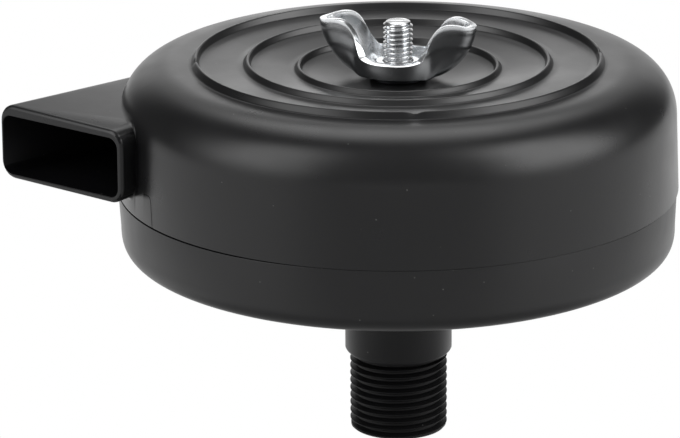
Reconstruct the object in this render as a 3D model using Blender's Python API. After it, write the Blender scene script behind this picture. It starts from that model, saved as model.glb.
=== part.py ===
"""Intake muffler for a small air compressor: a round two-part plastic housing with a tangential
inlet duct, a pleated filter inside, a threaded outlet spigot and a centre stud with a wing nut.

Metres, +Z up. The origin is the centre of the spigot's end face, on the body's axis.
The inlet mouth faces -Y."""

import math

import bmesh
import bpy
from mathutils import Vector

MM = 0.001
TAU = 2.0 * math.pi

# Clearances between neighbouring pieces
SEAT_GAP = 0.3 * MM
SEAM_GAP = 0.3 * MM
BORE_CLEARANCE = 0.3 * MM

# Round pieces
BODY_SEGMENTS = 48
SPIGOT_SEGMENTS = 24
SMALL_SEGMENTS = 20
STUD_SEGMENTS = 12
OUTER_CORNER_STEPS = 8
INNER_CORNER_STEPS = 5
DUCT_CORNER_STEPS = 4
WING_NUT_SEGMENTS = 60
WING_NUT_RISE_STEPS = 5

# Housing
BODY_RADIUS = 47.5 * MM
WALL = 2.2 * MM
COVER_WALL_HEIGHT = 12.5 * MM
COVER_DRAFT = 0.46 * MM
SHOULDER_WIDTH = 9.5 * MM
SHOULDER_HEIGHT = 9.1 * MM
SHOULDER_FULLNESS = 2.2
PLATE_DISH = 3.1 * MM
CENTRE_FLAT_RADIUS = 7.0 * MM
RIB_COUNT = 3
RIB_EDGE_INSET = 3.5 * MM
RIB_SPACING = 8.6 * MM
RIB_HEIGHT = 1.2 * MM
RIB_HALF_WIDTH = 1.35 * MM
RIB_SECTION = ((1.0, 0.0), (0.35, 0.95), (-0.35, 0.95), (-1.0, 0.0))
PRESS_RING_INSET = 2.0 * MM
PRESS_RING_DEPTH = 1.1 * MM
PRESS_RING_WIDTH = 1.6 * MM

BASE_INSET = 0.12 * MM
BASE_WALL_HEIGHT = 6.2 * MM
BASE_DRAFT = 0.3 * MM
BASE_CORNER_WIDTH = 11.0 * MM
BASE_CORNER_HEIGHT = 5.8 * MM
BASE_CORNER_FULLNESS = 3.2
BASE_BOTTOM_DROP = 2.2 * MM
LIP_HEIGHT = 3.0 * MM
LIP_WIDTH = 1.6 * MM

# Spigot with its male pipe thread
THREAD_RADIUS = 8.33 * MM
THREAD_PITCH = 1.337 * MM
THREAD_DEPTH = 0.856 * MM
THREAD_LENGTH = 13.1 * MM
THREAD_END_CHAMFER = 1.4 * MM
COLLAR_RADIUS = 9.15 * MM
COLLAR_CHAMFER = 0.8 * MM
COLLAR_LENGTH = 13.9 * MM
NECK_FILLET = 2.2 * MM
SPIGOT_BORE_RADIUS = 5.9 * MM

# Outlet funnel, and the three-armed spider in it that holds the stud
OUTLET_RADIUS = 13.6 * MM
OUTLET_WALL = 1.6 * MM
OUTLET_HEIGHT = 4.1 * MM
OUTLET_LEDGE = 1.3 * MM
FUNNEL_HEIGHT = 10.5 * MM
SPIDER_ARMS = 3
SPIDER_RING_WIDTH = 1.2 * MM
SPIDER_ARM_WIDTH = 2.4 * MM
SPIDER_ARM_INSET = 0.1 * MM
SPIDER_HEIGHT = 3.6 * MM
HUB_EDGE = 0.4 * MM

# Inlet duct, part of the cover
DUCT_WIDTH = 26.4 * MM
DUCT_HEIGHT = 12.1 * MM
DUCT_WALL = 1.4 * MM
DUCT_CORNER_RADIUS = 2.8 * MM
DUCT_STANDOUT = 3.1 * MM
DUCT_SIDE_STANDOUT = 2.6 * MM
DUCT_LIFT = 3.7 * MM
DUCT_OUTER_SLANT = math.radians(12.7)

# Stud, nuts and washers, metric 5 mm thread
STUD_RADIUS = 2.5 * MM
STUD_PITCH = 0.8 * MM
STUD_THREAD_DEPTH = 0.43 * MM
STUD_STANDOUT = 7.0 * MM
STUD_TOP_THREAD = 12.0 * MM
STUD_FOOT_THREAD = 16.8 * MM
STUD_FOOT_STANDOUT = 1.2 * MM
NUT_FLATS = 8.0 * MM
NUT_THICKNESS = 4.0 * MM
WASHER_RADIUS = 5.0 * MM
WASHER_THICKNESS = 1.0 * MM

# Pressed wing nut and the washer under it
WING_NUT_SHEET = 1.3 * MM
WING_NUT_BASE_RADIUS = 5.0 * MM
WING_NUT_COLLAR_RADIUS = 3.9 * MM
WING_NUT_COLLAR_HEIGHT = 1.0 * MM
WING_NUT_LIP_RADIUS = 7.0 * MM
WING_NUT_LIP_HEIGHT = 2.7 * MM
EAR_TIP_RADIUS = 13.5 * MM
EAR_TIP_HEIGHT = 9.1 * MM
EAR_SHOULDER_RADIUS = 10.3 * MM
EAR_SHOULDER_HEIGHT = 10.1 * MM
EAR_SHOULDER_ANGLE = math.radians(18.0)
EAR_ROOT_ANGLE = math.radians(36.0)
WING_NUT_TURN = math.radians(23.2)
NUT_WASHER_RADIUS = 4.8 * MM
NUT_WASHER_THICKNESS = 0.5 * MM

# Filter cartridge
CHAMBER_WIDTH = 14.7 * MM
OUTLET_CLEARANCE = 1.4 * MM
FILTER_RING_HEIGHT = 2.6 * MM
PLEATS = 36
PLEAT_EDGE_INSET = 0.8 * MM
PAPER_THICKNESS = 0.6 * MM
FOLD_STRETCH = 3.0
CORE_SETBACK = 1.1 * MM
CORE_SHEET = 0.6 * MM
CORE_WINDOWS_AROUND = 12
CORE_WINDOW_ROWS = 3
FILTER_GUIDE_WIDTH = 1.4 * MM
FILTER_GUIDE_HEIGHT = 2.6 * MM

# Heights worked out upwards from the spigot's end face
COLLAR_TOP = THREAD_LENGTH + COLLAR_LENGTH
BOTTOM_EDGE = COLLAR_TOP + NECK_FILLET + BASE_BOTTOM_DROP
SEAM = BOTTOM_EDGE + BASE_CORNER_HEIGHT + BASE_WALL_HEIGHT
FLOOR = BOTTOM_EDGE + WALL
FUNNEL_BOTTOM = FLOOR - FUNNEL_HEIGHT
OUTLET_TOP = FLOOR + OUTLET_HEIGHT
SPIDER_TOP = OUTLET_TOP
SPIDER_BOTTOM = SPIDER_TOP - SPIDER_HEIGHT
SPIDER_RING_BOTTOM = FLOOR + SEAT_GAP
BASE_RIM = SEAM - 0.5 * SEAM_GAP
COVER_RIM = SEAM + 0.5 * SEAM_GAP
SHOULDER_START = SEAM + COVER_WALL_HEIGHT
PLATE_EDGE = SHOULDER_START + SHOULDER_HEIGHT
PLATE_RADIUS = BODY_RADIUS - COVER_DRAFT - SHOULDER_WIDTH
PLATE_CENTRE = PLATE_EDGE - PLATE_DISH
NUT_WASHER_BOTTOM = PLATE_CENTRE + SEAT_GAP
WING_NUT_BOTTOM = NUT_WASHER_BOTTOM + NUT_WASHER_THICKNESS + SEAT_GAP
STUD_TOP = WING_NUT_BOTTOM + WING_NUT_SHEET + WING_NUT_COLLAR_HEIGHT + STUD_STANDOUT
UPPER_WASHER_BOTTOM = SPIDER_TOP + SEAT_GAP
UPPER_NUT_BOTTOM = UPPER_WASHER_BOTTOM + WASHER_THICKNESS + SEAT_GAP
LOWER_WASHER_TOP = SPIDER_BOTTOM - SEAT_GAP
LOWER_NUT_TOP = LOWER_WASHER_TOP - WASHER_THICKNESS - SEAT_GAP
STUD_BOTTOM = LOWER_NUT_TOP - NUT_THICKNESS - STUD_FOOT_STANDOUT
FILTER_BOTTOM = FLOOR + SEAT_GAP
PRESS_RING_BOTTOM = PLATE_CENTRE - WALL + PRESS_RING_DEPTH
FILTER_TOP = PRESS_RING_BOTTOM - SEAT_GAP
DUCT_BOTTOM = SEAM + DUCT_LIFT
DUCT_TOP = DUCT_BOTTOM + DUCT_HEIGHT

# Radii and places that follow from the sizes above
COVER_INNER_RADIUS = BODY_RADIUS - WALL
LIP_OUTER_RADIUS = COVER_INNER_RADIUS - SEAT_GAP
LIP_INNER_RADIUS = LIP_OUTER_RADIUS - LIP_WIDTH
BASE_RIM_RADIUS = BODY_RADIUS - BASE_INSET
BASE_CORNER_TOP_RADIUS = BASE_RIM_RADIUS - BASE_DRAFT
RIB_RADII = [PLATE_RADIUS - RIB_EDGE_INSET - i * RIB_SPACING for i in range(RIB_COUNT)]
DUCT_INNER_SIDE = BODY_RADIUS + DUCT_SIDE_STANDOUT - DUCT_WIDTH
DUCT_REACH = math.sqrt(BODY_RADIUS * BODY_RADIUS - DUCT_INNER_SIDE * DUCT_INNER_SIDE) + DUCT_STANDOUT
FUNNEL_TOP_RADIUS = OUTLET_RADIUS - OUTLET_LEDGE
SPIDER_RING_OUTER = OUTLET_RADIUS - SEAT_GAP
SPIDER_RING_INNER = SPIDER_RING_OUTER - SPIDER_RING_WIDTH
HUB_RADIUS = WASHER_RADIUS + HUB_EDGE
STUD_HOLE_RADIUS = STUD_RADIUS + BORE_CLEARANCE
FILTER_RING_OUTER = COVER_INNER_RADIUS - CHAMBER_WIDTH
FILTER_RING_INNER = OUTLET_RADIUS + OUTLET_WALL + OUTLET_CLEARANCE
CORE_RADIUS = FILTER_RING_INNER + CORE_SETBACK
PLEAT_OUTER = FILTER_RING_OUTER - PLEAT_EDGE_INSET
PLEAT_INNER = CORE_RADIUS + SEAT_GAP
PRESS_RING_RADII = (FILTER_RING_OUTER - PRESS_RING_INSET, FILTER_RING_INNER + PRESS_RING_INSET)


def clear_scene():
    for item in list(bpy.data.objects):
        bpy.data.objects.remove(item, do_unlink=True)


def material(name, color, roughness, metallic=0.0):
    made = bpy.data.materials.new(name)
    made.use_nodes = True
    shader = made.node_tree.nodes["Principled BSDF"]
    shader.inputs["Base Color"].default_value = (*color, 1.0)
    shader.inputs["Roughness"].default_value = roughness
    shader.inputs["Metallic"].default_value = metallic
    return made


def object_from(name, bm, surface, smooth_angle=35.0):
    """Turn a bmesh into a shaded object at the origin."""
    bmesh.ops.recalc_face_normals(bm, faces=bm.faces)
    mesh = bpy.data.meshes.new(name)
    bm.to_mesh(mesh)
    bm.free()
    mesh.shade_smooth()
    mesh.set_sharp_from_angle(angle=math.radians(smooth_angle))
    made = bpy.data.objects.new(name, mesh)
    bpy.context.collection.objects.link(made)
    if surface is not None:
        made.data.materials.append(surface)
    return made


def turned(profile, segments):
    """Turn a closed outline of (radius, height) points about the Z axis.

    A point on the axis becomes one vertex."""
    bm = bmesh.new()
    rings = []
    for radius, height in profile:
        if radius < 1e-7:
            rings.append([bm.verts.new((0.0, 0.0, height))])
            continue
        angles = [TAU * i / segments for i in range(segments)]
        rings.append([bm.verts.new((radius * math.cos(a), radius * math.sin(a), height)) for a in angles])
    for lower, upper in zip(rings, rings[1:] + rings[:1]):
        for i in range(segments):
            j = (i + 1) % segments
            below = [lower[i % len(lower)], lower[j % len(lower)]]
            above = [upper[j % len(upper)], upper[i % len(upper)]]
            corners = list(dict.fromkeys(below + above))
            if len(corners) > 2:
                bm.faces.new(corners)
    return bm


def prism(outline, bottom, top):
    """A closed block over a plan outline of (x, y) points."""
    bm = bmesh.new()
    low = [bm.verts.new((x, y, bottom)) for x, y in outline]
    high = [bm.verts.new((x, y, top)) for x, y in outline]
    bm.faces.new(low[::-1])
    bm.faces.new(high)
    for i in range(len(outline)):
        j = (i + 1) % len(outline)
        bm.faces.new((low[i], low[j], high[j], high[i]))
    return bm


def combine(target, tool, operation):
    """Union, cut or intersect with a helper solid that isn't a piece itself."""
    tool.hide_render = True
    tool.display_type = "WIRE"
    step = target.modifiers.new(operation.lower() + "_" + tool.name, "BOOLEAN")
    step.operation = operation
    step.solver = "EXACT"
    step.object = tool


def curve_corner(centre, width, height, start, end, steps, fullness):
    """Points along a rounded corner; fullness 2 is an ellipse and more is squarer."""
    points = []
    for i in range(steps + 1):
        angle = start + (end - start) * i / steps
        c, s = math.cos(angle), math.sin(angle)
        across = math.copysign(abs(c) ** (2.0 / fullness), c)
        up = math.copysign(abs(s) ** (2.0 / fullness), s)
        points.append((centre[0] + width * across, centre[1] + height * up))
    return points


def plate_height(radius):
    """Top surface of the cover plate, drawn down at its centre like a centrally loaded disc."""
    share = max(radius, CENTRE_FLAT_RADIUS) / PLATE_RADIUS
    start = CENTRE_FLAT_RADIUS / PLATE_RADIUS

    def sag(q):
        return 1.0 - q * q + 2.0 * q * q * math.log(q)

    return PLATE_EDGE - PLATE_DISH * sag(share) / sag(start)


def thread_rings(radius, depth, pitch, bottom, top):
    """Outline of a thread from bottom to top, as rings at the real pitch."""
    turns = int((top - bottom) / pitch)
    points = []
    for i in range(turns):
        foot = bottom + i * pitch
        points += [
            (radius - depth, foot + 0.06 * pitch),
            (radius, foot + 0.44 * pitch),
            (radius, foot + 0.60 * pitch),
        ]
    points.append((radius - depth, bottom + turns * pitch))
    return points


def cover_wall_line(depth, steps):
    """The cover's wall and shoulder from the rim up to the plate, at a depth under its outside."""
    centre = (PLATE_RADIUS, SHOULDER_START)
    points = [(BODY_RADIUS - depth, COVER_RIM)]
    points += curve_corner(
        centre, SHOULDER_WIDTH - depth, SHOULDER_HEIGHT - depth, 0.0, 0.5 * math.pi, steps,
        SHOULDER_FULLNESS,
    )
    return points


def cover_profile():
    """Section of the cover: up its outside over the ribs to the stud hole, then back underneath,
    where two rings stand that press on the filter."""
    points = cover_wall_line(0.0, OUTER_CORNER_STEPS)
    for rib in RIB_RADII:
        for across, up in RIB_SECTION:
            radius = rib + across * RIB_HALF_WIDTH
            points.append((radius, plate_height(radius) + up * RIB_HEIGHT))
    points += [(CENTRE_FLAT_RADIUS, PLATE_CENTRE), (STUD_HOLE_RADIUS, PLATE_CENTRE)]
    underside = cover_wall_line(WALL, INNER_CORNER_STEPS)
    for ring in PRESS_RING_RADII:
        outside = ring + 0.5 * PRESS_RING_WIDTH
        inside = ring - 0.5 * PRESS_RING_WIDTH
        underside += [
            (outside, plate_height(outside) - WALL),
            (outside, PRESS_RING_BOTTOM),
            (inside, PRESS_RING_BOTTOM),
            (inside, plate_height(inside) - WALL),
        ]
    underside += [(CENTRE_FLAT_RADIUS, PLATE_CENTRE - WALL), (STUD_HOLE_RADIUS, PLATE_CENTRE - WALL)]
    return points + underside[::-1]


def wall_core_profile():
    """Solid outline of all that lies inside the middle of the cover's wall, where the duct ends."""
    wall_line = cover_wall_line(0.5 * WALL, OUTER_CORNER_STEPS)
    bottom = COVER_RIM - WALL
    top = wall_line[-1][1]
    return [(0.0, bottom), (wall_line[0][0], bottom)] + wall_line + [(0.0, top)]


def duct_meets_circle(side, radius):
    """The Y at which the duct's slanting outer side, at X = side in the mouth, reaches a radius."""
    lean = math.tan(DUCT_OUTER_SLANT)
    at_axis = side + lean * DUCT_REACH
    a = 1.0 + lean * lean
    b = 2.0 * lean * at_axis
    c = at_axis * at_axis - radius * radius
    return (-b - math.sqrt(b * b - 4.0 * a * c)) / (2.0 * a)


def duct_block(name, inset, mouth_overrun, corner_radius, end_radius):
    """The duct's outside (inset 0) or its passage (inset one wall): a rounded bar along Y whose
    outer side runs in until it reaches end_radius."""
    left = -DUCT_INNER_SIDE - DUCT_WIDTH + inset
    right = -DUCT_INNER_SIDE - inset
    bottom = DUCT_BOTTOM + inset
    top = DUCT_TOP - inset
    mouth = -DUCT_REACH - mouth_overrun
    inner_end = duct_meets_circle(left, end_radius)
    lean = math.tan(DUCT_OUTER_SLANT)
    bm = bmesh.new()
    rings = []
    for y in (mouth, inner_end):
        outer = left + corner_radius + lean * (y + DUCT_REACH)
        inner = right - corner_radius
        ring = []
        for x, z, start in (
            (inner, bottom + corner_radius, -0.5 * math.pi),
            (inner, top - corner_radius, 0.0),
            (outer, top - corner_radius, 0.5 * math.pi),
            (outer, bottom + corner_radius, math.pi),
        ):
            corner = curve_corner(
                (x, z), corner_radius, corner_radius, start, start + 0.5 * math.pi, DUCT_CORNER_STEPS, 2.0
            )
            ring += [bm.verts.new((across, y, up)) for across, up in corner]
        rings.append(ring)
    bm.faces.new(rings[0])
    bm.faces.new(rings[1][::-1])
    for i in range(len(rings[0])):
        j = (i + 1) % len(rings[0])
        bm.faces.new((rings[0][j], rings[0][i], rings[1][i], rings[1][j]))
    return object_from(name, bm, None)


def make_cover(plastic):
    cover = object_from("top_cover", turned(cover_profile(), BODY_SEGMENTS), plastic)
    core = object_from("cover_wall_core", turned(wall_core_profile(), BODY_SEGMENTS), None)
    duct = duct_block("duct_outside", 0.0, 0.0, DUCT_CORNER_RADIUS, COVER_INNER_RADIUS)
    passage = duct_block(
        "duct_passage", DUCT_WALL, WALL, DUCT_CORNER_RADIUS - DUCT_WALL, COVER_INNER_RADIUS - 2.0 * WALL
    )
    combine(duct, core, "DIFFERENCE")
    combine(cover, duct, "UNION")
    combine(cover, passage, "DIFFERENCE")


def spigot_profile():
    """Solid outline of the threaded end, reaching up into the collar."""
    chamfered_end = THREAD_RADIUS - THREAD_END_CHAMFER
    root = THREAD_RADIUS - THREAD_DEPTH
    relief = 0.3 * THREAD_PITCH
    points = [(0.0, 0.0), (chamfered_end, 0.0)]
    points += thread_rings(
        THREAD_RADIUS, THREAD_DEPTH, THREAD_PITCH, THREAD_END_CHAMFER, THREAD_LENGTH - relief
    )
    points += [(root, THREAD_LENGTH + COLLAR_CHAMFER), (0.0, THREAD_LENGTH + COLLAR_CHAMFER)]
    return points


def base_profile():
    """Solid outline of the base from the collar up: its outside, the lip, and down the inside."""
    points = [
        (0.0, THREAD_LENGTH),
        (COLLAR_RADIUS - COLLAR_CHAMFER, THREAD_LENGTH),
        (COLLAR_RADIUS, THREAD_LENGTH + COLLAR_CHAMFER),
        (COLLAR_RADIUS, COLLAR_TOP),
    ]
    fillet_centre = (COLLAR_RADIUS + NECK_FILLET, COLLAR_TOP)
    points += curve_corner(fillet_centre, NECK_FILLET, NECK_FILLET, math.pi, 0.5 * math.pi, 3, 2.0)[1:]
    corner_centre = (BASE_CORNER_TOP_RADIUS - BASE_CORNER_WIDTH, BOTTOM_EDGE + BASE_CORNER_HEIGHT)
    points += curve_corner(
        corner_centre, BASE_CORNER_WIDTH, BASE_CORNER_HEIGHT, -0.5 * math.pi, 0.0, OUTER_CORNER_STEPS,
        BASE_CORNER_FULLNESS,
    )
    points += [
        (BASE_RIM_RADIUS, BASE_RIM),
        (LIP_OUTER_RADIUS, BASE_RIM),
        (LIP_OUTER_RADIUS, BASE_RIM + LIP_HEIGHT),
        (LIP_INNER_RADIUS, BASE_RIM + LIP_HEIGHT),
        (LIP_INNER_RADIUS, BASE_RIM - WALL),
        (BASE_CORNER_TOP_RADIUS - WALL, BASE_RIM - WALL - LIP_WIDTH),
    ]
    points += curve_corner(
        corner_centre, BASE_CORNER_WIDTH - WALL, BASE_CORNER_HEIGHT - WALL, 0.0, -0.5 * math.pi,
        INNER_CORNER_STEPS, BASE_CORNER_FULLNESS,
    )
    guide_inner = FILTER_RING_OUTER + SEAT_GAP
    guide_outer = guide_inner + FILTER_GUIDE_WIDTH
    points += [
        (guide_outer, FLOOR),
        (guide_outer, FLOOR + FILTER_GUIDE_HEIGHT),
        (guide_inner, FLOOR + FILTER_GUIDE_HEIGHT),
        (guide_inner, FLOOR),
        (OUTLET_RADIUS + OUTLET_WALL, FLOOR),
        (OUTLET_RADIUS + OUTLET_WALL, OUTLET_TOP),
        (OUTLET_RADIUS, OUTLET_TOP),
        (OUTLET_RADIUS, FLOOR),
        (FUNNEL_TOP_RADIUS, FLOOR),
        (SPIGOT_BORE_RADIUS, FUNNEL_BOTTOM),
        (0.0, FUNNEL_BOTTOM),
    ]
    return points


def make_base(plastic):
    base = object_from("base_housing", turned(base_profile(), BODY_SEGMENTS), plastic)
    spigot = object_from("spigot_thread", turned(spigot_profile(), SPIGOT_SEGMENTS), None)
    bore_profile = [
        (0.0, -WALL),
        (SPIGOT_BORE_RADIUS, -WALL),
        (SPIGOT_BORE_RADIUS, FUNNEL_BOTTOM + WALL),
        (0.0, FUNNEL_BOTTOM + WALL),
    ]
    bore = object_from("spigot_bore", turned(bore_profile, SPIGOT_SEGMENTS), None)
    combine(base, spigot, "UNION")
    combine(base, bore, "DIFFERENCE")


def make_spider(plastic):
    """A hub for the stud on arms from a ring, which stands on the ledge in the outlet's collar."""
    ring_profile = [
        (SPIDER_RING_INNER, SPIDER_RING_BOTTOM),
        (SPIDER_RING_OUTER, SPIDER_RING_BOTTOM),
        (SPIDER_RING_OUTER, SPIDER_TOP),
        (SPIDER_RING_INNER, SPIDER_TOP),
    ]
    hub_profile = [
        (STUD_HOLE_RADIUS, SPIDER_BOTTOM),
        (HUB_RADIUS, SPIDER_BOTTOM),
        (HUB_RADIUS, SPIDER_TOP),
        (STUD_HOLE_RADIUS, SPIDER_TOP),
    ]
    spider = object_from("stud_spider", turned(ring_profile, BODY_SEGMENTS), plastic)
    for index in range(SPIDER_ARMS):
        angle = TAU * index / SPIDER_ARMS
        along = Vector((math.cos(angle), math.sin(angle)))
        side = Vector((-along.y, along.x)) * 0.5 * SPIDER_ARM_WIDTH
        start = along * 0.5 * (STUD_HOLE_RADIUS + HUB_RADIUS)
        end = along * (SPIDER_RING_OUTER - 0.5 * SPIDER_RING_WIDTH)
        outline = [tuple(start - side), tuple(end - side), tuple(end + side), tuple(start + side)]
        low = SPIDER_BOTTOM + SPIDER_ARM_INSET
        high = SPIDER_TOP - SPIDER_ARM_INSET
        arm = object_from("spider_arm_%d" % (index + 1), prism(outline, low, high), None)
        combine(spider, arm, "UNION")
    hub = object_from("spider_hub", turned(hub_profile, SMALL_SEGMENTS), None)
    combine(spider, hub, "UNION")


def make_stud(steel):
    tip = 0.5 * STUD_PITCH
    points = [(0.0, STUD_BOTTOM), (STUD_RADIUS - STUD_THREAD_DEPTH - 0.2 * MM, STUD_BOTTOM)]
    points += thread_rings(
        STUD_RADIUS, STUD_THREAD_DEPTH, STUD_PITCH, STUD_BOTTOM + tip, STUD_BOTTOM + STUD_FOOT_THREAD
    )
    points += thread_rings(
        STUD_RADIUS, STUD_THREAD_DEPTH, STUD_PITCH, STUD_TOP - STUD_TOP_THREAD, STUD_TOP - tip
    )
    points += [(STUD_RADIUS - STUD_THREAD_DEPTH - 0.2 * MM, STUD_TOP), (0.0, STUD_TOP)]
    object_from("center_stud", turned(points, STUD_SEGMENTS), steel)


def make_hex_nut(name, bottom, steel):
    corner = NUT_FLATS / math.sqrt(3.0)
    outline = [
        (corner * math.cos(TAU * i / 6.0), corner * math.sin(TAU * i / 6.0)) for i in range(6)
    ]
    nut = object_from(name, prism(outline, bottom, bottom + NUT_THICKNESS), steel)
    bore_profile = [
        (0.0, bottom - SEAT_GAP),
        (STUD_HOLE_RADIUS, bottom - SEAT_GAP),
        (STUD_HOLE_RADIUS, bottom + NUT_THICKNESS + SEAT_GAP),
        (0.0, bottom + NUT_THICKNESS + SEAT_GAP),
    ]
    bore = object_from(name + "_bore", turned(bore_profile, SMALL_SEGMENTS), None)
    combine(nut, bore, "DIFFERENCE")


def make_washer(name, bottom, thickness, outer_radius, steel):
    points = [
        (STUD_HOLE_RADIUS, bottom),
        (outer_radius, bottom),
        (outer_radius, bottom + thickness),
        (STUD_HOLE_RADIUS, bottom + thickness),
    ]
    object_from(name, turned(points, SMALL_SEGMENTS), steel)


def ease(share):
    return share * share * (3.0 - 2.0 * share)


def wing_nut_rim(angle):
    """Radius and height of the pressed shell's rim; the ears point along angle 0 and 180 degrees."""
    off = abs(math.remainder(angle, math.pi))
    if off >= EAR_ROOT_ANGLE:
        return WING_NUT_LIP_RADIUS, WING_NUT_LIP_HEIGHT
    if off >= EAR_SHOULDER_ANGLE:
        share = ease((EAR_ROOT_ANGLE - off) / (EAR_ROOT_ANGLE - EAR_SHOULDER_ANGLE))
        radius = WING_NUT_LIP_RADIUS + share * (EAR_SHOULDER_RADIUS - WING_NUT_LIP_RADIUS)
        height = WING_NUT_LIP_HEIGHT + math.sqrt(share) * (EAR_SHOULDER_HEIGHT - WING_NUT_LIP_HEIGHT)
        return radius, height
    share = math.cos(0.5 * math.pi * off / EAR_SHOULDER_ANGLE)
    radius = EAR_SHOULDER_RADIUS + share * (EAR_TIP_RADIUS - EAR_SHOULDER_RADIUS)
    height = EAR_SHOULDER_HEIGHT + share * (EAR_TIP_HEIGHT - EAR_SHOULDER_HEIGHT)
    return radius, height


def make_wing_nut(steel):
    """A dish of sheet metal drawn up into two scoop-shaped ears, with a threaded collar."""
    bm = bmesh.new()
    rows = []
    bottom = WING_NUT_BOTTOM
    inner_floor = bottom + WING_NUT_SHEET
    collar_top = inner_floor + WING_NUT_COLLAR_HEIGHT

    def place(radius, height, angle):
        turn = angle + WING_NUT_TURN
        return bm.verts.new((radius * math.cos(turn), radius * math.sin(turn), height))

    angles = [TAU * i / WING_NUT_SEGMENTS for i in range(WING_NUT_SEGMENTS)]
    rows.append([place(STUD_HOLE_RADIUS, bottom, a) for a in angles])
    for step in range(WING_NUT_RISE_STEPS + 1):
        climb = 0.5 * math.pi * step / WING_NUT_RISE_STEPS
        row = []
        for a in angles:
            rim_radius, rim_height = wing_nut_rim(a)
            radius = WING_NUT_BASE_RADIUS + (rim_radius - WING_NUT_BASE_RADIUS) * math.sin(climb)
            row.append(place(radius, bottom + rim_height * (1.0 - math.cos(climb)), a))
        rows.append(row)
    for step in range(WING_NUT_RISE_STEPS, -1, -1):
        climb = 0.5 * math.pi * step / WING_NUT_RISE_STEPS
        row = []
        for a in angles:
            rim_radius, rim_height = wing_nut_rim(a)
            reach = rim_radius - WING_NUT_BASE_RADIUS - 0.7 * WING_NUT_SHEET
            radius = WING_NUT_BASE_RADIUS - 0.3 * WING_NUT_SHEET + reach * math.sin(climb)
            height = inner_floor + (rim_height - WING_NUT_SHEET) * (1.0 - math.cos(climb))
            row.append(place(radius, height, a))
        rows.append(row)
    rows.append([place(WING_NUT_COLLAR_RADIUS, inner_floor, a) for a in angles])
    rows.append([place(WING_NUT_COLLAR_RADIUS - 0.2 * MM, collar_top, a) for a in angles])
    rows.append([place(STUD_HOLE_RADIUS, collar_top, a) for a in angles])
    for lower, upper in zip(rows, rows[1:] + rows[:1]):
        for i in range(WING_NUT_SEGMENTS):
            j = (i + 1) % WING_NUT_SEGMENTS
            bm.faces.new((lower[i], lower[j], upper[j], upper[i]))
    object_from("wing_nut", bm, steel)


def make_filter(paper_stock, end_foam, core_metal):
    ring_profile = [
        (FILTER_RING_INNER, 0.0),
        (FILTER_RING_OUTER, 0.0),
        (FILTER_RING_OUTER, FILTER_RING_HEIGHT),
        (FILTER_RING_INNER, FILTER_RING_HEIGHT),
    ]
    for name, bottom in (
        ("filter_bottom_ring", FILTER_BOTTOM),
        ("filter_top_ring", FILTER_TOP - FILTER_RING_HEIGHT),
    ):
        points = [(radius, bottom + height) for radius, height in ring_profile]
        object_from(name, turned(points, BODY_SEGMENTS // 2), end_foam)

    low = FILTER_BOTTOM + FILTER_RING_HEIGHT + SEAT_GAP
    high = FILTER_TOP - FILTER_RING_HEIGHT - SEAT_GAP
    bm = bmesh.new()
    walls = {}
    fold_depth = FOLD_STRETCH * PAPER_THICKNESS
    for side, crest, valley in (
        ("outer", PLEAT_OUTER, PLEAT_INNER + fold_depth),
        ("inner", PLEAT_OUTER - fold_depth, PLEAT_INNER),
    ):
        for level, height in (("low", low), ("high", high)):
            ring = []
            for i in range(2 * PLEATS):
                radius = crest if i % 2 == 0 else valley
                angle = TAU * i / (2 * PLEATS)
                ring.append(bm.verts.new((radius * math.cos(angle), radius * math.sin(angle), height)))
            walls[side, level] = ring
    count = 2 * PLEATS
    for i in range(count):
        j = (i + 1) % count
        outer_low, outer_high = walls["outer", "low"], walls["outer", "high"]
        inner_low, inner_high = walls["inner", "low"], walls["inner", "high"]
        bm.faces.new((outer_low[i], outer_low[j], outer_high[j], outer_high[i]))
        bm.faces.new((inner_low[j], inner_low[i], inner_high[i], inner_high[j]))
        bm.faces.new((outer_high[i], outer_high[j], inner_high[j], inner_high[i]))
        bm.faces.new((outer_low[j], outer_low[i], inner_low[i], inner_low[j]))
    object_from("filter_paper", bm, paper_stock)
    make_core(low, high, core_metal)


def make_core(low, high, core_metal):
    """Perforated tube inside the pleats: a grid of cells round a cylinder with windows left out."""
    columns = 2 * CORE_WINDOWS_AROUND
    levels = 2 * CORE_WINDOW_ROWS + 1
    step = (high - low) / levels
    bm = bmesh.new()
    inner_radius = CORE_RADIUS - CORE_SHEET
    grid = {}
    for c in range(columns):
        across, along = math.cos(TAU * c / columns), math.sin(TAU * c / columns)
        for k in range(levels + 1):
            for side, radius in ((0, inner_radius), (1, CORE_RADIUS)):
                grid[c, k, side] = bm.verts.new((radius * across, radius * along, low + k * step))

    def solid(c, k):
        if k < 0 or k >= levels:
            return False
        return c % 2 == 0 or k % 2 == 0

    for c in range(columns):
        d = (c + 1) % columns
        for k in range(levels):
            if not solid(c, k):
                continue
            bm.faces.new((grid[c, k, 1], grid[d, k, 1], grid[d, k + 1, 1], grid[c, k + 1, 1]))
            bm.faces.new((grid[d, k, 0], grid[c, k, 0], grid[c, k + 1, 0], grid[d, k + 1, 0]))
            if not solid(c, k - 1):
                bm.faces.new((grid[c, k, 0], grid[d, k, 0], grid[d, k, 1], grid[c, k, 1]))
            if not solid(c, k + 1):
                bm.faces.new((grid[d, k + 1, 0], grid[c, k + 1, 0], grid[c, k + 1, 1], grid[d, k + 1, 1]))
            if not solid((c - 1) % columns, k):
                bm.faces.new((grid[c, k, 1], grid[c, k + 1, 1], grid[c, k + 1, 0], grid[c, k, 0]))
            if not solid(d, k):
                bm.faces.new((grid[d, k, 0], grid[d, k + 1, 0], grid[d, k + 1, 1], grid[d, k, 1]))
    object_from("filter_core", bm, core_metal)


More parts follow.
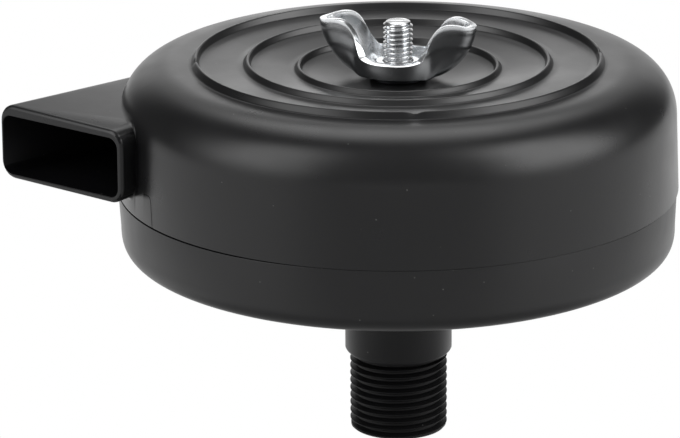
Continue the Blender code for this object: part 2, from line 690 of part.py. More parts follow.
def build():
    clear_scene()
    cover_plastic = material("cover_plastic", (0.02, 0.02, 0.021), 0.38)
    base_plastic = material("base_plastic", (0.018, 0.018, 0.019), 0.42)
    zinc_steel = material("zinc_steel", (0.72, 0.73, 0.74), 0.22, 1.0)
    dull_steel = material("dull_steel", (0.55, 0.56, 0.57), 0.35, 1.0)
    filter_paper = material("filter_paper", (0.82, 0.66, 0.30), 0.9)
    end_foam = material("end_foam", (0.80, 0.78, 0.72), 0.8)
    core_metal = material("core_metal", (0.60, 0.61, 0.62), 0.4, 1.0)

    make_cover(cover_plastic)
    make_base(base_plastic)
    make_spider(base_plastic)
    make_stud(zinc_steel)
    make_hex_nut("stud_nut_upper", UPPER_NUT_BOTTOM, dull_steel)
    make_hex_nut("stud_nut_lower", LOWER_NUT_TOP - NUT_THICKNESS, dull_steel)
    make_washer("stud_washer_upper", UPPER_WASHER_BOTTOM, WASHER_THICKNESS, WASHER_RADIUS, dull_steel)
    make_washer(
        "stud_washer_lower", LOWER_WASHER_TOP - WASHER_THICKNESS, WASHER_THICKNESS, WASHER_RADIUS, dull_steel
    )
    make_washer("nut_washer", NUT_WASHER_BOTTOM, NUT_WASHER_THICKNESS, NUT_WASHER_RADIUS, dull_steel)
    make_wing_nut(zinc_steel)
    make_filter(filter_paper, end_foam, core_metal)


build()
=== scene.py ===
"""A small compressor's intake muffler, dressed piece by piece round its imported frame."""

import math

import bmesh
import bpy
from mathutils import Matrix, Vector


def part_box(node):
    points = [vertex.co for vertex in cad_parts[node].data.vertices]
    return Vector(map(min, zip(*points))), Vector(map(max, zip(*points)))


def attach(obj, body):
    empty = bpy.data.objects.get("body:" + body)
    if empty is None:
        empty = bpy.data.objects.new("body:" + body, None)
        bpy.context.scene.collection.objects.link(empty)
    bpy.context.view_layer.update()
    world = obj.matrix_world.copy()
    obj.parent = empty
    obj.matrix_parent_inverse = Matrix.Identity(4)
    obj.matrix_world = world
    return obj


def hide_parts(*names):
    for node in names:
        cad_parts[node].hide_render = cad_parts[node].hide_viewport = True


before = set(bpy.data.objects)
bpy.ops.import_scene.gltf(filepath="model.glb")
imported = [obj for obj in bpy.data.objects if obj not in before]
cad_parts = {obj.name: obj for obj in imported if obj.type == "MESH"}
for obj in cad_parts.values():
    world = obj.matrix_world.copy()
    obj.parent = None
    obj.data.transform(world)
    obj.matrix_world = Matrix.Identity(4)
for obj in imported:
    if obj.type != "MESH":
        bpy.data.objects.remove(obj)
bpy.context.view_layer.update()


# The camera stands 0.77 m from the body, a little above its top plate, and looks at it through a
# long lens. It is turned so that the inlet duct's mouth shows at the left.
DEGREE = math.radians(1.0)
CAMERA_PLACE = (0.4305, -0.5755, 0.2673)
CAMERA_TURN = 37.59 * DEGREE
CAMERA_DIP = 17.76 * DEGREE
CAMERA_ROLL = -0.33 * DEGREE
SENSOR_WIDTH = 36.0
FOCAL_LENGTH = 234.5
NEAR_CLIP, FAR_CLIP = 0.05, 50.0
TOWARDS_CAMERA = (math.sin(CAMERA_TURN), -math.cos(CAMERA_TURN), 0.0)
CAMERA_RIGHT = (math.cos(CAMERA_TURN), math.sin(CAMERA_TURN), 0.0)

camera_data = bpy.data.cameras.new("camera")
camera_data.sensor_width = SENSOR_WIDTH
camera_data.lens = FOCAL_LENGTH
camera_data.clip_start = NEAR_CLIP
camera_data.clip_end = FAR_CLIP
camera = bpy.data.objects.new("camera", camera_data)
bpy.context.collection.objects.link(camera)
camera.location = CAMERA_PLACE
aim = Matrix.Rotation(CAMERA_TURN, 4, "Z") @ Matrix.Rotation(0.5 * math.pi - CAMERA_DIP, 4, "X")
camera.rotation_euler = (aim @ Matrix.Rotation(CAMERA_ROLL, 4, "Z")).to_euler()
bpy.context.scene.camera = camera
bpy.context.scene.view_settings.view_transform = "Standard"


# The studio is a plain room: a wide matt white floor well under the muffler, which hangs free of it,
# a white wall behind it, one wide soft box over that wall and one at either side of the camera.
FLOOR_HEIGHT = -0.30
FLOOR_RADIUS = 6.0
SHADOW_INNER = 0.25
SHADOW_OUTER = 0.60
SHADE_IN_FRONT = 0.42
SHADE_FROM, SHADE_TO = 0.6, 0.92
SHADE_AT_FOOT = 0.65


def srgb(code):
    """A linear colour from an sRGB hex code."""
    channels = [int(code[i:i + 2], 16) / 255.0 for i in (1, 3, 5)]
    linear = [c / 12.92 if c <= 0.04045 else ((c + 0.055) / 1.055) ** 2.4 for c in channels]
    return (*linear, 1.0)


def add_node(tree, kind, settings, links):
    """Adds a node. A setting is one of its properties or a socket's value; a link feeds a socket."""
    node = tree.nodes.new(kind)
    for name, value in settings.items():
        if isinstance(name, str) and hasattr(node, name):
            setattr(node, name, value)
        else:
            node.inputs[name].default_value = value
    for name, source in links.items():
        tree.links.new(source, node.inputs[name])
    return node


def start_material(name):
    """An empty node material, its tree and its output node."""
    made = bpy.data.materials.new(name)
    made.use_nodes = True
    made.node_tree.nodes.clear()
    return made, made.node_tree, made.node_tree.nodes.new("ShaderNodeOutputMaterial")


def object_from(name, bm, surface):
    """Makes a bmesh an object at the origin with one material."""
    mesh = bpy.data.meshes.new(name)
    bm.to_mesh(mesh)
    bm.free()
    piece = bpy.data.objects.new(name, mesh)
    bpy.context.collection.objects.link(piece)
    mesh.materials.append(surface)
    return piece


# Matt white paint on the floor. Away from the muffler's foot it shows as plain white, to the eye
# and in anything glossy, and near the foot it keeps the soft shadow.
floor_paint, tree, output = start_material("matt_white_floor_paint")
rays = add_node(tree, "ShaderNodeLightPath", {}, {})
spot = add_node(tree, "ShaderNodeTexCoord", {}, {})
reach = add_node(tree, "ShaderNodeVectorMath", {"operation": "LENGTH"}, {0: spot.outputs["Object"]})
clear = add_node(tree, "ShaderNodeMapRange",
                 {"interpolation_type": "SMOOTHSTEP", "From Min": SHADOW_INNER, "From Max": SHADOW_OUTER},
                 {"Value": reach.outputs["Value"]})
share = add_node(tree, "ShaderNodeMath", {"operation": "MULTIPLY"},
                 {0: rays.outputs["Is Camera Ray"], 1: clear.outputs["Result"]})
share = add_node(tree, "ShaderNodeMath", {"operation": "MAXIMUM"},
                 {0: share.outputs[0], 1: rays.outputs["Is Glossy Ray"]})
paint = add_node(tree, "ShaderNodeBsdfDiffuse", {"Color": srgb("#f4f4f4")}, {})
# In gloss the floor's white is painted dimmer: painted shade in front, where the camera would shade it, and
# a painted shadow under the muffler itself.
heading = add_node(tree, "ShaderNodeVectorMath", {"operation": "NORMALIZE"}, {0: spot.outputs["Object"]})
front = add_node(tree, "ShaderNodeVectorMath", {"operation": "DOT_PRODUCT", 1: TOWARDS_CAMERA},
                 {0: heading.outputs[0]})
shade = add_node(tree, "ShaderNodeMapRange",
                 {"interpolation_type": "SMOOTHSTEP", "From Min": SHADE_FROM, "From Max": SHADE_TO,
                  "To Max": SHADE_IN_FRONT},
                 {"Value": front.outputs["Value"]})
foot = add_node(tree, "ShaderNodeMapRange",
                {"interpolation_type": "SMOOTHSTEP", "From Min": SHADOW_INNER, "From Max": SHADOW_OUTER,
                 "To Min": SHADE_AT_FOOT, "To Max": 0.0},
                {"Value": reach.outputs["Value"]})
shade = add_node(tree, "ShaderNodeMath", {"operation": "MAXIMUM"},
                 {0: shade.outputs["Result"], 1: foot.outputs["Result"]})
shade = add_node(tree, "ShaderNodeMath", {"operation": "MULTIPLY"},
                 {0: shade.outputs[0], 1: rays.outputs["Is Glossy Ray"]})
strength = add_node(tree, "ShaderNodeMath", {"operation": "SUBTRACT", 0: 1.0}, {1: shade.outputs[0]})
white = add_node(tree, "ShaderNodeEmission", {"Color": (1.0, 1.0, 1.0, 1.0)},
                 {"Strength": strength.outputs[0]})
mixed = add_node(tree, "ShaderNodeMixShader", {},
                 {0: share.outputs[0], 1: paint.outputs[0], 2: white.outputs[0]})
tree.links.new(mixed.outputs[0], output.inputs["Surface"])

bm = bmesh.new()
bmesh.ops.create_circle(bm, cap_ends=True, segments=96, radius=FLOOR_RADIUS)
floor = object_from("studio_floor", bm, floor_paint)
floor.location = (0.0, 0.0, FLOOR_HEIGHT)

# The room's light, read from the direction alone. Forward, sideways and offside are shares of it
# towards the camera, to its right and off the middle. Swing is the angle round from the camera's
# side, lift the angle up from the horizon, and climb the angle up over the back.
CORNER_LIGHT, FRONT_LIGHT = 0.08, 0.35
LEFT_BOX_LIGHT = 3.15
RIGHT_BOX_LIGHT = 4.3
BACK_WALL_LIGHT = 0.95
GAP_LIGHT = 0.30
STRIP_LIGHT = 0.9
TOP_BOX_LIGHT = 2.45
world = bpy.data.worlds.new("white_studio_room")
world.use_nodes = True
bpy.context.scene.world = world
tree = world.node_tree
tree.nodes.clear()
output = tree.nodes.new("ShaderNodeOutputWorld")
direction = add_node(tree, "ShaderNodeTexCoord", {}, {}).outputs["Generated"]
upward = add_node(tree, "ShaderNodeSeparateXYZ", {}, {0: direction}).outputs["Z"]
forward, sideways = [
    add_node(tree, "ShaderNodeVectorMath", {"operation": "DOT_PRODUCT", 1: axis},
             {0: direction}).outputs["Value"]
    for axis in (TOWARDS_CAMERA, CAMERA_RIGHT)]
offside = add_node(tree, "ShaderNodeMath", {"operation": "ABSOLUTE"}, {0: sideways}).outputs[0]
backward = add_node(tree, "ShaderNodeMath", {"operation": "MULTIPLY", 1: -1.0}, {0: forward}).outputs[0]
swing = add_node(tree, "ShaderNodeMath", {"operation": "ARCTAN2"}, {0: sideways, 1: forward}).outputs[0]
lift = add_node(tree, "ShaderNodeMath", {"operation": "ARCSINE"}, {0: upward}).outputs[0]
climb = add_node(tree, "ShaderNodeMath", {"operation": "ARCTAN2"}, {0: upward, 1: backward}).outputs[0]

# Every light comes and goes smoothly. It is the product of its changes, and a change says what it
# reads, where it starts and ends, and the light at its start and at its end.
SIDE_BOX_FOOT = (lift, -12.0 * DEGREE, 24.0 * DEGREE, 0.0, 1.0)
SIDE_BOX_HEAD = (lift, 48.0 * DEGREE, 76.0 * DEGREE, 1.0, 0.0)
OVERHEAD = (climb, 62.0 * DEGREE, 86.0 * DEGREE, 1.0, 0.0)
corners = [(forward, -0.6, 0.4, CORNER_LIGHT, FRONT_LIGHT)]
left_box = [(swing, -98.0 * DEGREE, -72.0 * DEGREE, 0.0, 1.0),
            (swing, -56.0 * DEGREE, -28.0 * DEGREE, LEFT_BOX_LIGHT, 0.0), SIDE_BOX_FOOT, SIDE_BOX_HEAD]
right_box = [(swing, 33.0 * DEGREE, 62.0 * DEGREE, 0.0, 1.0),
             (swing, 84.0 * DEGREE, 110.0 * DEGREE, RIGHT_BOX_LIGHT, 0.0), SIDE_BOX_FOOT, SIDE_BOX_HEAD]
back_wall = [(offside, 0.18, 0.62, 1.0, 0.0),
             (climb, 15.0 * DEGREE, 24.0 * DEGREE, BACK_WALL_LIGHT, GAP_LIGHT), OVERHEAD]
bright_strip = [(offside, 0.05, 0.12, STRIP_LIGHT, 0.0), (climb, 3.0 * DEGREE, 9.0 * DEGREE, 0.0, 1.0),
                (climb, 13.0 * DEGREE, 18.0 * DEGREE, 1.0, 0.0), OVERHEAD]
top_box = [(offside, 0.12, 0.45, TOP_BOX_LIGHT - GAP_LIGHT, 0.0),
           (climb, 30.0 * DEGREE, 49.0 * DEGREE, 0.0, 1.0), OVERHEAD]
levels = []
for light in (corners, left_box, right_box, back_wall, bright_strip, top_box):
    shares = [add_node(tree, "ShaderNodeMapRange",
                       {"interpolation_type": "SMOOTHSTEP", "From Min": start, "From Max": end,
                        "To Min": before, "To Max": after},
                       {"Value": reading}).outputs["Result"] for reading, start, end, before, after in light]
    while len(shares) > 1:
        pair = {0: shares.pop(), 1: shares.pop()}
        shares.append(add_node(tree, "ShaderNodeMath", {"operation": "MULTIPLY"}, pair).outputs[0])
    levels += shares
while len(levels) > 1:
    pair = {0: levels.pop(), 1: levels.pop()}
    levels.append(add_node(tree, "ShaderNodeMath", {"operation": "ADD"}, pair).outputs[0])
# The eye sees plain white behind the muffler, and everything glossy sees the room.
rays = add_node(tree, "ShaderNodeLightPath", {}, {})
room = add_node(tree, "ShaderNodeBackground", {"Color": (1.0, 1.0, 1.0, 1.0)}, {"Strength": levels[0]})
plain = add_node(tree, "ShaderNodeBackground", {"Color": (1.0, 1.0, 1.0, 1.0), "Strength": 1.0}, {})
mixed = add_node(tree, "ShaderNodeMixShader", {},
                 {0: rays.outputs["Is Camera Ray"], 1: room.outputs[0], 2: plain.outputs[0]})
tree.links.new(mixed.outputs[0], output.inputs["Surface"])


# The base housing is the lower half of the body, moulded in black glass-filled nylon in one piece
# with its collar, its male pipe thread and the funnel that the filtered air leaves through.
MM = 0.001
TAU = 2.0 * math.pi
SEAM_GAP = 0.22 * MM
SEAM_UNDER_CAD = 0.15 * MM
WALL = 2.2 * MM
RIM_ROUND = 0.07 * MM
BODY_STEPS = 360

cover_low, cover_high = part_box("top_cover")
base_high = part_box("base_housing")[1]
BODY_RADIUS = cover_high[0]
SEAM = cover_low[2] - SEAM_UNDER_CAD
BASE_INSET = 0.12 * MM
BASE_WALL_HEIGHT = 6.2 * MM
BASE_DRAFT = 0.3 * MM
BASE_CORNER_WIDTH = 11.0 * MM
BASE_CORNER_HEIGHT = 5.8 * MM
BASE_CORNER_FULLNESS = 3.2
BASE_BOTTOM_DROP = 2.2 * MM
BASE_RIM_RADIUS = BODY_RADIUS - BASE_INSET
BASE_RIM = SEAM - 0.5 * SEAM_GAP
BOTTOM_EDGE = SEAM - BASE_WALL_HEIGHT - BASE_CORNER_HEIGHT
FLOOR_TOP = BOTTOM_EDGE + WALL
LIP_PLAY = 0.3 * MM
LIP_OUTER = BODY_RADIUS - WALL - LIP_PLAY
LIP_WIDTH = 1.6 * MM
LIP_TOP = base_high[2]
COLLAR_RADIUS = 9.15 * MM
COLLAR_CHAMFER = 0.8 * MM
COLLAR_SOFT_EDGE = 0.15 * MM
NECK_FILLET = 2.2 * MM
THREAD_RADIUS = 8.33 * MM
THREAD_PITCH = 1.337 * MM
THREAD_DEPTH = 0.856 * MM
THREAD_LENGTH = 13.4 * MM
THREAD_CHAMFER = 0.35 * MM
THREAD_STEPS = 96
THREAD_TIP_RADIUS = 8.2 * MM
# The end ring's section: how far in from its edge, and how high.
THREAD_TIP_LINE = ((0.25 * MM, 0.0), (0.0, 0.3 * MM), (0.0, 0.55 * MM))
THREAD_TIP_HEIGHT = 1.0 * MM
SPIGOT_BORE = 5.9 * MM
OUTLET_RADIUS = 13.6 * MM
OUTLET_WALL = 1.6 * MM
OUTLET_HEIGHT = 4.1 * MM
OUTLET_LEDGE = 1.3 * MM
FUNNEL_HEIGHT = 10.5 * MM
GUIDE_INNER = 30.9 * MM
GUIDE_WIDTH = 1.4 * MM
GUIDE_HEIGHT = 2.6 * MM
# A thread's profile over one pitch: share of its depth out and share of the pitch up. The flanks
# stand at 60 degrees, and the crest is narrow and a little rounded.
THREAD_LINE = ((0.0, 0.0), (0.0, 0.12), (0.94, 0.42), (1.0, 0.46), (1.0, 0.54), (0.94, 0.58),
               (0.0, 0.88), (0.0, 1.0))


def corner(centre, width, height, start, end, steps, fullness=2.0):
    """Points along a rounded corner between two angles; fullness 2 is an ellipse, more is squarer."""
    points = []
    for i in range(steps + 1):
        angle = start + (end - start) * i / steps
        c, s = math.cos(angle), math.sin(angle)
        across = math.copysign(abs(c) ** (2.0 / fullness), c)
        up = math.copysign(abs(s) ** (2.0 / fullness), s)
        points.append((centre[0] + width * across, centre[1] + height * up))
    return points


def turned(section, steps):
    """A bmesh of a closed section of (radius, height) points, spun once round the axis."""
    bm = bmesh.new()
    points = [bm.verts.new((radius, 0.0, height)) for radius, height in section]
    edges = [bm.edges.new(pair) for pair in zip(points, points[1:] + points[:1])]
    bmesh.ops.spin(bm, geom=points + edges, axis=(0.0, 0.0, 1.0), angle=TAU, steps=steps, use_merge=True)
    bmesh.ops.remove_doubles(bm, verts=bm.verts, dist=1e-7)
    bmesh.ops.recalc_face_normals(bm, faces=bm.faces)
    return bm


def threaded_rod(radius, depth, pitch, bottom, top, steps):
    """A solid rod with a true right-hand thread, cut flat at both ends."""
    turns = math.ceil((top - bottom) / pitch) + 3
    root = radius - depth
    start = bottom - 2.0 * pitch
    bm = bmesh.new()
    points = [bm.verts.new((root + depth * out, 0.0, start + pitch * up)) for out, up in THREAD_LINE]
    edges = [bm.edges.new(pair) for pair in zip(points, points[1:])]
    bmesh.ops.spin(bm, geom=points + edges, axis=(0.0, 0.0, 1.0), dvec=(0.0, 0.0, pitch / steps),
                   angle=TAU * turns, steps=steps * turns)
    bmesh.ops.remove_doubles(bm, verts=bm.verts, dist=1e-6)
    for height, away in ((bottom, -1.0), (top, 1.0)):
        bmesh.ops.bisect_plane(bm, geom=bm.verts[:] + bm.edges[:] + bm.faces[:], dist=1e-7,
                               plane_co=(0.0, 0.0, height), plane_no=(0.0, 0.0, away), clear_outer=True)
    bmesh.ops.holes_fill(bm, edges=[edge for edge in bm.edges if edge.is_boundary], sides=0)
    bmesh.ops.recalc_face_normals(bm, faces=bm.faces)
    return bm


def trim_tip(bm, radius, chamfer, end, inward):
    """Draws a rod's thread in to a cone over the last stretch before its end; inward points into it."""
    for vert in bm.verts:
        limit = radius - chamfer + (vert.co.z - end) * inward
        across = math.hypot(vert.co.x, vert.co.y)
        if across > limit:
            vert.co.x *= limit / across
            vert.co.y *= limit / across


def settle(piece):
    """Keeps what a piece's modifiers make as its own mesh."""
    graph = bpy.context.evaluated_depsgraph_get()
    mesh = bpy.data.meshes.new_from_object(piece.evaluated_get(graph))
    piece.modifiers.clear()
    piece.data = mesh


def carve(piece, bm, operation):
    """Joins a solid to a piece, or cuts it away."""
    tool = object_from("tool", bm, piece.data.materials[0])
    step = piece.modifiers.new("carve", "BOOLEAN")
    step.operation = operation
    step.solver = "EXACT"
    step.object = tool
    settle(piece)
    bpy.data.objects.remove(tool)


def smooth(piece, degrees):
    """Shades a piece smooth, apart from edges sharper than an angle."""
    piece.data.shade_smooth()
    piece.data.set_sharp_from_angle(angle=math.radians(degrees))


# Black glass-filled nylon as it leaves a satin mould: nearly black, an even soft gloss with a very
# fine orange peel, and a slightly duller skin in faint clouds where the melt cooled unevenly. A few
# specks of dust lie on it.
COOLING_CLOUDS = 9.0 * MM
ORANGE_PEEL = 0.7 * MM
PEEL_DEPTH = 0.02 * MM
DUST_SPACING = 2.6 * MM
DUST = "#5a5a58"


def moulded_nylon(name, colour, roughness, shine=0.5):
    """One finish of the nylon; shine scales its reflections: 0.5 for the plain moulded skin, less where
    shade is painted in and more where sheen is painted in.
    """
    made, tree, output = start_material(name)
    place = add_node(tree, "ShaderNodeTexCoord", {}, {})
    clouds = add_node(tree, "ShaderNodeTexNoise", {"Scale": 1.0 / COOLING_CLOUDS, "Detail": 3.0},
                      {"Vector": place.outputs["Object"]})
    gloss = add_node(tree, "ShaderNodeMapRange",
                     {"From Min": 0.3, "From Max": 0.7,
                      "To Min": roughness - 0.03, "To Max": roughness + 0.04},
                     {"Value": clouds.outputs["Fac"]})
    peel = add_node(tree, "ShaderNodeTexNoise", {"Scale": 1.0 / ORANGE_PEEL, "Detail": 2.0},
                    {"Vector": place.outputs["Object"]})
    bump = add_node(tree, "ShaderNodeBump", {"Strength": 0.25, "Distance": PEEL_DEPTH},
                    {"Height": peel.outputs["Fac"]})
    dust = add_node(tree, "ShaderNodeTexVoronoi", {"Scale": 1.0 / DUST_SPACING, "Randomness": 1.0},
                    {"Vector": place.outputs["Object"]})
    speck = add_node(tree, "ShaderNodeMapRange",
                     {"From Min": 0.02, "From Max": 0.05, "To Min": 1.0, "To Max": 0.0},
                     {"Value": dust.outputs["Distance"]})
    tone = add_node(tree, "ShaderNodeMix", {"data_type": "RGBA", 6: srgb(colour), 7: srgb(DUST)},
                    {0: speck.outputs["Result"]})
    shader = add_node(tree, "ShaderNodeBsdfPrincipled", {"IOR": 1.43, "Specular IOR Level": shine},
                      {"Base Color": tone.outputs[2], "Roughness": gloss.outputs["Result"],
                       "Normal": bump.outputs["Normal"]})
    tree.links.new(shader.outputs[0], output.inputs["Surface"])
    return made


base_nylon = moulded_nylon("satin_moulded_nylon_base", "#111112", 0.34)
# The collar and the thread are darker copies that reflect less: painted shade, where the body above shades
# its spigot.
collar_nylon_painted_shade = moulded_nylon("dull_nylon_collar_painted_shade", "#0f0f10", 0.38, 0.30)
thread_nylon_painted_shade = moulded_nylon("dull_nylon_thread_painted_shade", "#0b0b0c", 0.42, 0.24)

corner_middle = (BASE_RIM_RADIUS - BASE_DRAFT - BASE_CORNER_WIDTH, BOTTOM_EDGE + BASE_CORNER_HEIGHT)
section = [
    (0.0, THREAD_LENGTH),
    (COLLAR_RADIUS - COLLAR_CHAMFER, THREAD_LENGTH),
    (COLLAR_RADIUS - COLLAR_SOFT_EDGE, THREAD_LENGTH + COLLAR_CHAMFER - COLLAR_SOFT_EDGE),
    (COLLAR_RADIUS, THREAD_LENGTH + COLLAR_CHAMFER + COLLAR_SOFT_EDGE),
]
neck_top = BOTTOM_EDGE - BASE_BOTTOM_DROP
section += corner((COLLAR_RADIUS + NECK_FILLET, neck_top - NECK_FILLET), NECK_FILLET, NECK_FILLET,
                  math.pi, 0.5 * math.pi, 8)
section += corner(corner_middle, BASE_CORNER_WIDTH, BASE_CORNER_HEIGHT, -0.5 * math.pi, 0.0, 32,
                  BASE_CORNER_FULLNESS)
section += corner((BASE_RIM_RADIUS - RIM_ROUND, BASE_RIM - RIM_ROUND), RIM_ROUND, RIM_ROUND,
                  0.0, 0.5 * math.pi, 4)
section += [
    (LIP_OUTER, BASE_RIM),
    (LIP_OUTER, LIP_TOP - RIM_ROUND),
    (LIP_OUTER - RIM_ROUND, LIP_TOP),
    (LIP_OUTER - LIP_WIDTH + RIM_ROUND, LIP_TOP),
    (LIP_OUTER - LIP_WIDTH, LIP_TOP - RIM_ROUND),
    (LIP_OUTER - LIP_WIDTH, BASE_RIM - WALL),
    (BASE_RIM_RADIUS - BASE_DRAFT - WALL, BASE_RIM - WALL - LIP_WIDTH),
]
section += corner(corner_middle, BASE_CORNER_WIDTH - WALL, BASE_CORNER_HEIGHT - WALL, 0.0, -0.5 * math.pi,
                  16, BASE_CORNER_FULLNESS)
section += [
    (GUIDE_INNER + GUIDE_WIDTH, FLOOR_TOP),
    (GUIDE_INNER + GUIDE_WIDTH, FLOOR_TOP + GUIDE_HEIGHT),
    (GUIDE_INNER, FLOOR_TOP + GUIDE_HEIGHT),
    (GUIDE_INNER, FLOOR_TOP),
    (OUTLET_RADIUS + OUTLET_WALL, FLOOR_TOP),
    (OUTLET_RADIUS + OUTLET_WALL, FLOOR_TOP + OUTLET_HEIGHT),
    (OUTLET_RADIUS, FLOOR_TOP + OUTLET_HEIGHT),
    (OUTLET_RADIUS, FLOOR_TOP),
    (OUTLET_RADIUS - OUTLET_LEDGE, FLOOR_TOP),
    (SPIGOT_BORE, FLOOR_TOP - FUNNEL_HEIGHT),
    (0.0, FLOOR_TOP - FUNNEL_HEIGHT),
]
base = object_from("lower_housing", turned(section, BODY_STEPS), base_nylon)

bm = threaded_rod(THREAD_RADIUS, THREAD_DEPTH, THREAD_PITCH, 0.0, THREAD_LENGTH - 0.4 * THREAD_PITCH,
                  THREAD_STEPS)
for vert in bm.verts:
    drawn_in = max(THREAD_CHAMFER - vert.co.z, 0.0) / THREAD_RADIUS
    vert.co.x *= 1.0 - drawn_in
    vert.co.y *= 1.0 - drawn_in
carve(base, bm, "UNION")
root = THREAD_RADIUS - THREAD_DEPTH
tip = [(0.0, 0.0)] + [(THREAD_TIP_RADIUS - inwards, height) for inwards, height in THREAD_TIP_LINE]
tip += [(root, THREAD_TIP_HEIGHT), (0.0, THREAD_TIP_HEIGHT)]
carve(base, turned(tip, THREAD_STEPS), "UNION")
relief = [(0.0, THREAD_LENGTH - 2.0 * THREAD_PITCH), (root, THREAD_LENGTH - 2.0 * THREAD_PITCH),
          (root, THREAD_LENGTH + WALL), (0.0, THREAD_LENGTH + WALL)]
carve(base, turned(relief, THREAD_STEPS), "UNION")
bore = [(0.0, -WALL), (SPIGOT_BORE, -WALL), (SPIGOT_BORE, FLOOR_TOP - FUNNEL_HEIGHT + WALL),
        (0.0, FLOOR_TOP - FUNNEL_HEIGHT + WALL)]
carve(base, turned(bore, THREAD_STEPS), "DIFFERENCE")


# The two halves don't quite line up: the rim sits a little to the camera's left, and the seam is
# open at the left, nearly shut in the middle and open again at the right.
RIM_SHIFT = 0.15 * MM
SEAM_CLOSED = 0.20 * MM
SHUT_FROM, SHUT_WIDTH = 0.22, 0.40
leftwards = -Vector(CAMERA_RIGHT)
towards = Vector(TOWARDS_CAMERA)
for vert in base.data.vertices:
    across = math.hypot(vert.co.x, vert.co.y)
    if across < GUIDE_INNER:
        continue
    share = min(max((vert.co.z - BOTTOM_EDGE) / (BASE_RIM - BOTTOM_EDGE), 0.0), 1.0)
    if across > LIP_OUTER + 0.1 * MM and vert.co.z > BASE_RIM - 2.0 * RIM_ROUND:
        facing = vert.co.dot(towards) / across
        aside = vert.co.dot(leftwards) / across
        open_share = min(max((aside - SHUT_FROM) / SHUT_WIDTH, 0.0), 1.0)
        vert.co.z += SEAM_CLOSED * max(facing, 0.0) ** 2 * (1.0 - open_share)
    vert.co += RIM_SHIFT * share * leftwards
# The collar and the thread take the copies with painted shade.
base.data.materials.append(collar_nylon_painted_shade)
base.data.materials.append(thread_nylon_painted_shade)
for face in base.data.polygons:
    across = math.hypot(face.center.x, face.center.y)
    if face.center.z < THREAD_LENGTH:
        face.material_index = 2
    elif face.center.z < neck_top - NECK_FILLET and across < 2.0 * COLLAR_RADIUS:
        face.material_index = 1
smooth(base, 38.0)
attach(base, "base")
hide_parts("base_housing")


# The stud carrier is a small three-armed spider, moulded in the same nylon. Its ring is pressed into
# the outlet's collar and stands on the ledge there, and the stud goes through its hub.
carrier_low, carrier_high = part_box("stud_spider")
CARRIER_ARMS = 3
CARRIER_RING_WIDTH = 1.2 * MM
CARRIER_ARM_WIDTH = 2.4 * MM
CARRIER_ARM_FOOT = 0.2 * MM
CARRIER_ARM_ROUND = 0.35 * MM
CARRIER_ROUND = 0.25 * MM
HUB_RADIUS = 5.4 * MM
STUD_HOLE = 2.8 * MM


def rounded_ring(inner, outer, bottom, top, round_off, steps):
    """A bmesh of a plain ring or bush with its four edges rounded."""
    far, near, low, high = outer - round_off, inner + round_off, bottom + round_off, top - round_off
    section = []
    for x, z, start in ((far, low, -0.5), (far, high, 0.0), (near, high, 0.5), (near, low, 1.0)):
        section += corner((x, z), round_off, round_off, start * math.pi, (start + 0.5) * math.pi, 3)
    return turned(section, steps)


carrier_nylon = moulded_nylon("satin_moulded_nylon_carrier", "#111112", 0.36)
arm_low = carrier_low[2] + CARRIER_ARM_FOOT
arm_middle = 0.5 * (arm_low + carrier_high[2])
arm_end = carrier_high[0] - 0.5 * CARRIER_RING_WIDTH
arm_start = STUD_HOLE + MM
bm = rounded_ring(carrier_high[0] - CARRIER_RING_WIDTH, carrier_high[0], carrier_low[2], carrier_high[2],
                  CARRIER_ROUND, 96)
carrier = object_from("stud_carrier", bm, carrier_nylon)
for index in range(CARRIER_ARMS):
    bm = bmesh.new()
    bmesh.ops.create_cube(bm, size=1.0)
    arm_size = (arm_end - arm_start, CARRIER_ARM_WIDTH, carrier_high[2] - arm_low - 0.1 * MM)
    bmesh.ops.scale(bm, vec=arm_size, verts=bm.verts)
    bmesh.ops.bevel(bm, geom=bm.edges[:], offset=CARRIER_ARM_ROUND, segments=3, profile=0.5,
                    affect="EDGES", material=-1)
    bmesh.ops.translate(bm, vec=(0.5 * (arm_start + arm_end), 0.0, arm_middle), verts=bm.verts)
    bmesh.ops.rotate(bm, cent=(0.0, 0.0, 0.0), matrix=Matrix.Rotation(TAU * index / CARRIER_ARMS, 3, "Z"),
                     verts=bm.verts)
    carve(carrier, bm, "UNION")
hub = corner((HUB_RADIUS - CARRIER_ROUND, arm_low + CARRIER_ROUND), CARRIER_ROUND, CARRIER_ROUND,
             -0.5 * math.pi, 0.0, 3)
hub += corner((HUB_RADIUS - CARRIER_ROUND, carrier_high[2] - CARRIER_ROUND), CARRIER_ROUND, CARRIER_ROUND,
              0.0, 0.5 * math.pi, 3)
carve(carrier, turned([(0.0, arm_low)] + hub + [(0.0, carrier_high[2])], 72), "UNION")
hole = [(0.0, arm_low - MM), (STUD_HOLE, arm_low - MM), (STUD_HOLE, carrier_high[2] + MM),
        (0.0, carrier_high[2] + MM)]
carve(carrier, turned(hole, 48), "DIFFERENCE")
smooth(carrier, 38.0)
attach(carrier, "base")
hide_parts("stud_spider")


# The top cover is the upper half, moulded in the same nylon with its inlet duct. Its plate is drawn
# down at the middle by the wing nut, and three round beads stiffen it.
COVER_WALL_HEIGHT = 12.5 * MM
COVER_DRAFT = 0.46 * MM
SHOULDER_WIDTH = 9.5 * MM
SHOULDER_HEIGHT = 9.1 * MM
SHOULDER_FULLNESS = 2.2
PLATE_DISH = 2.82 * MM
PLATE_DISH_FULLNESS = 1.3
CENTRE_FLAT = 7.0 * MM
BEADS = ((34.10 * MM, 1.15 * MM), (25.36 * MM, 1.0 * MM), (16.74 * MM, 0.92 * MM))
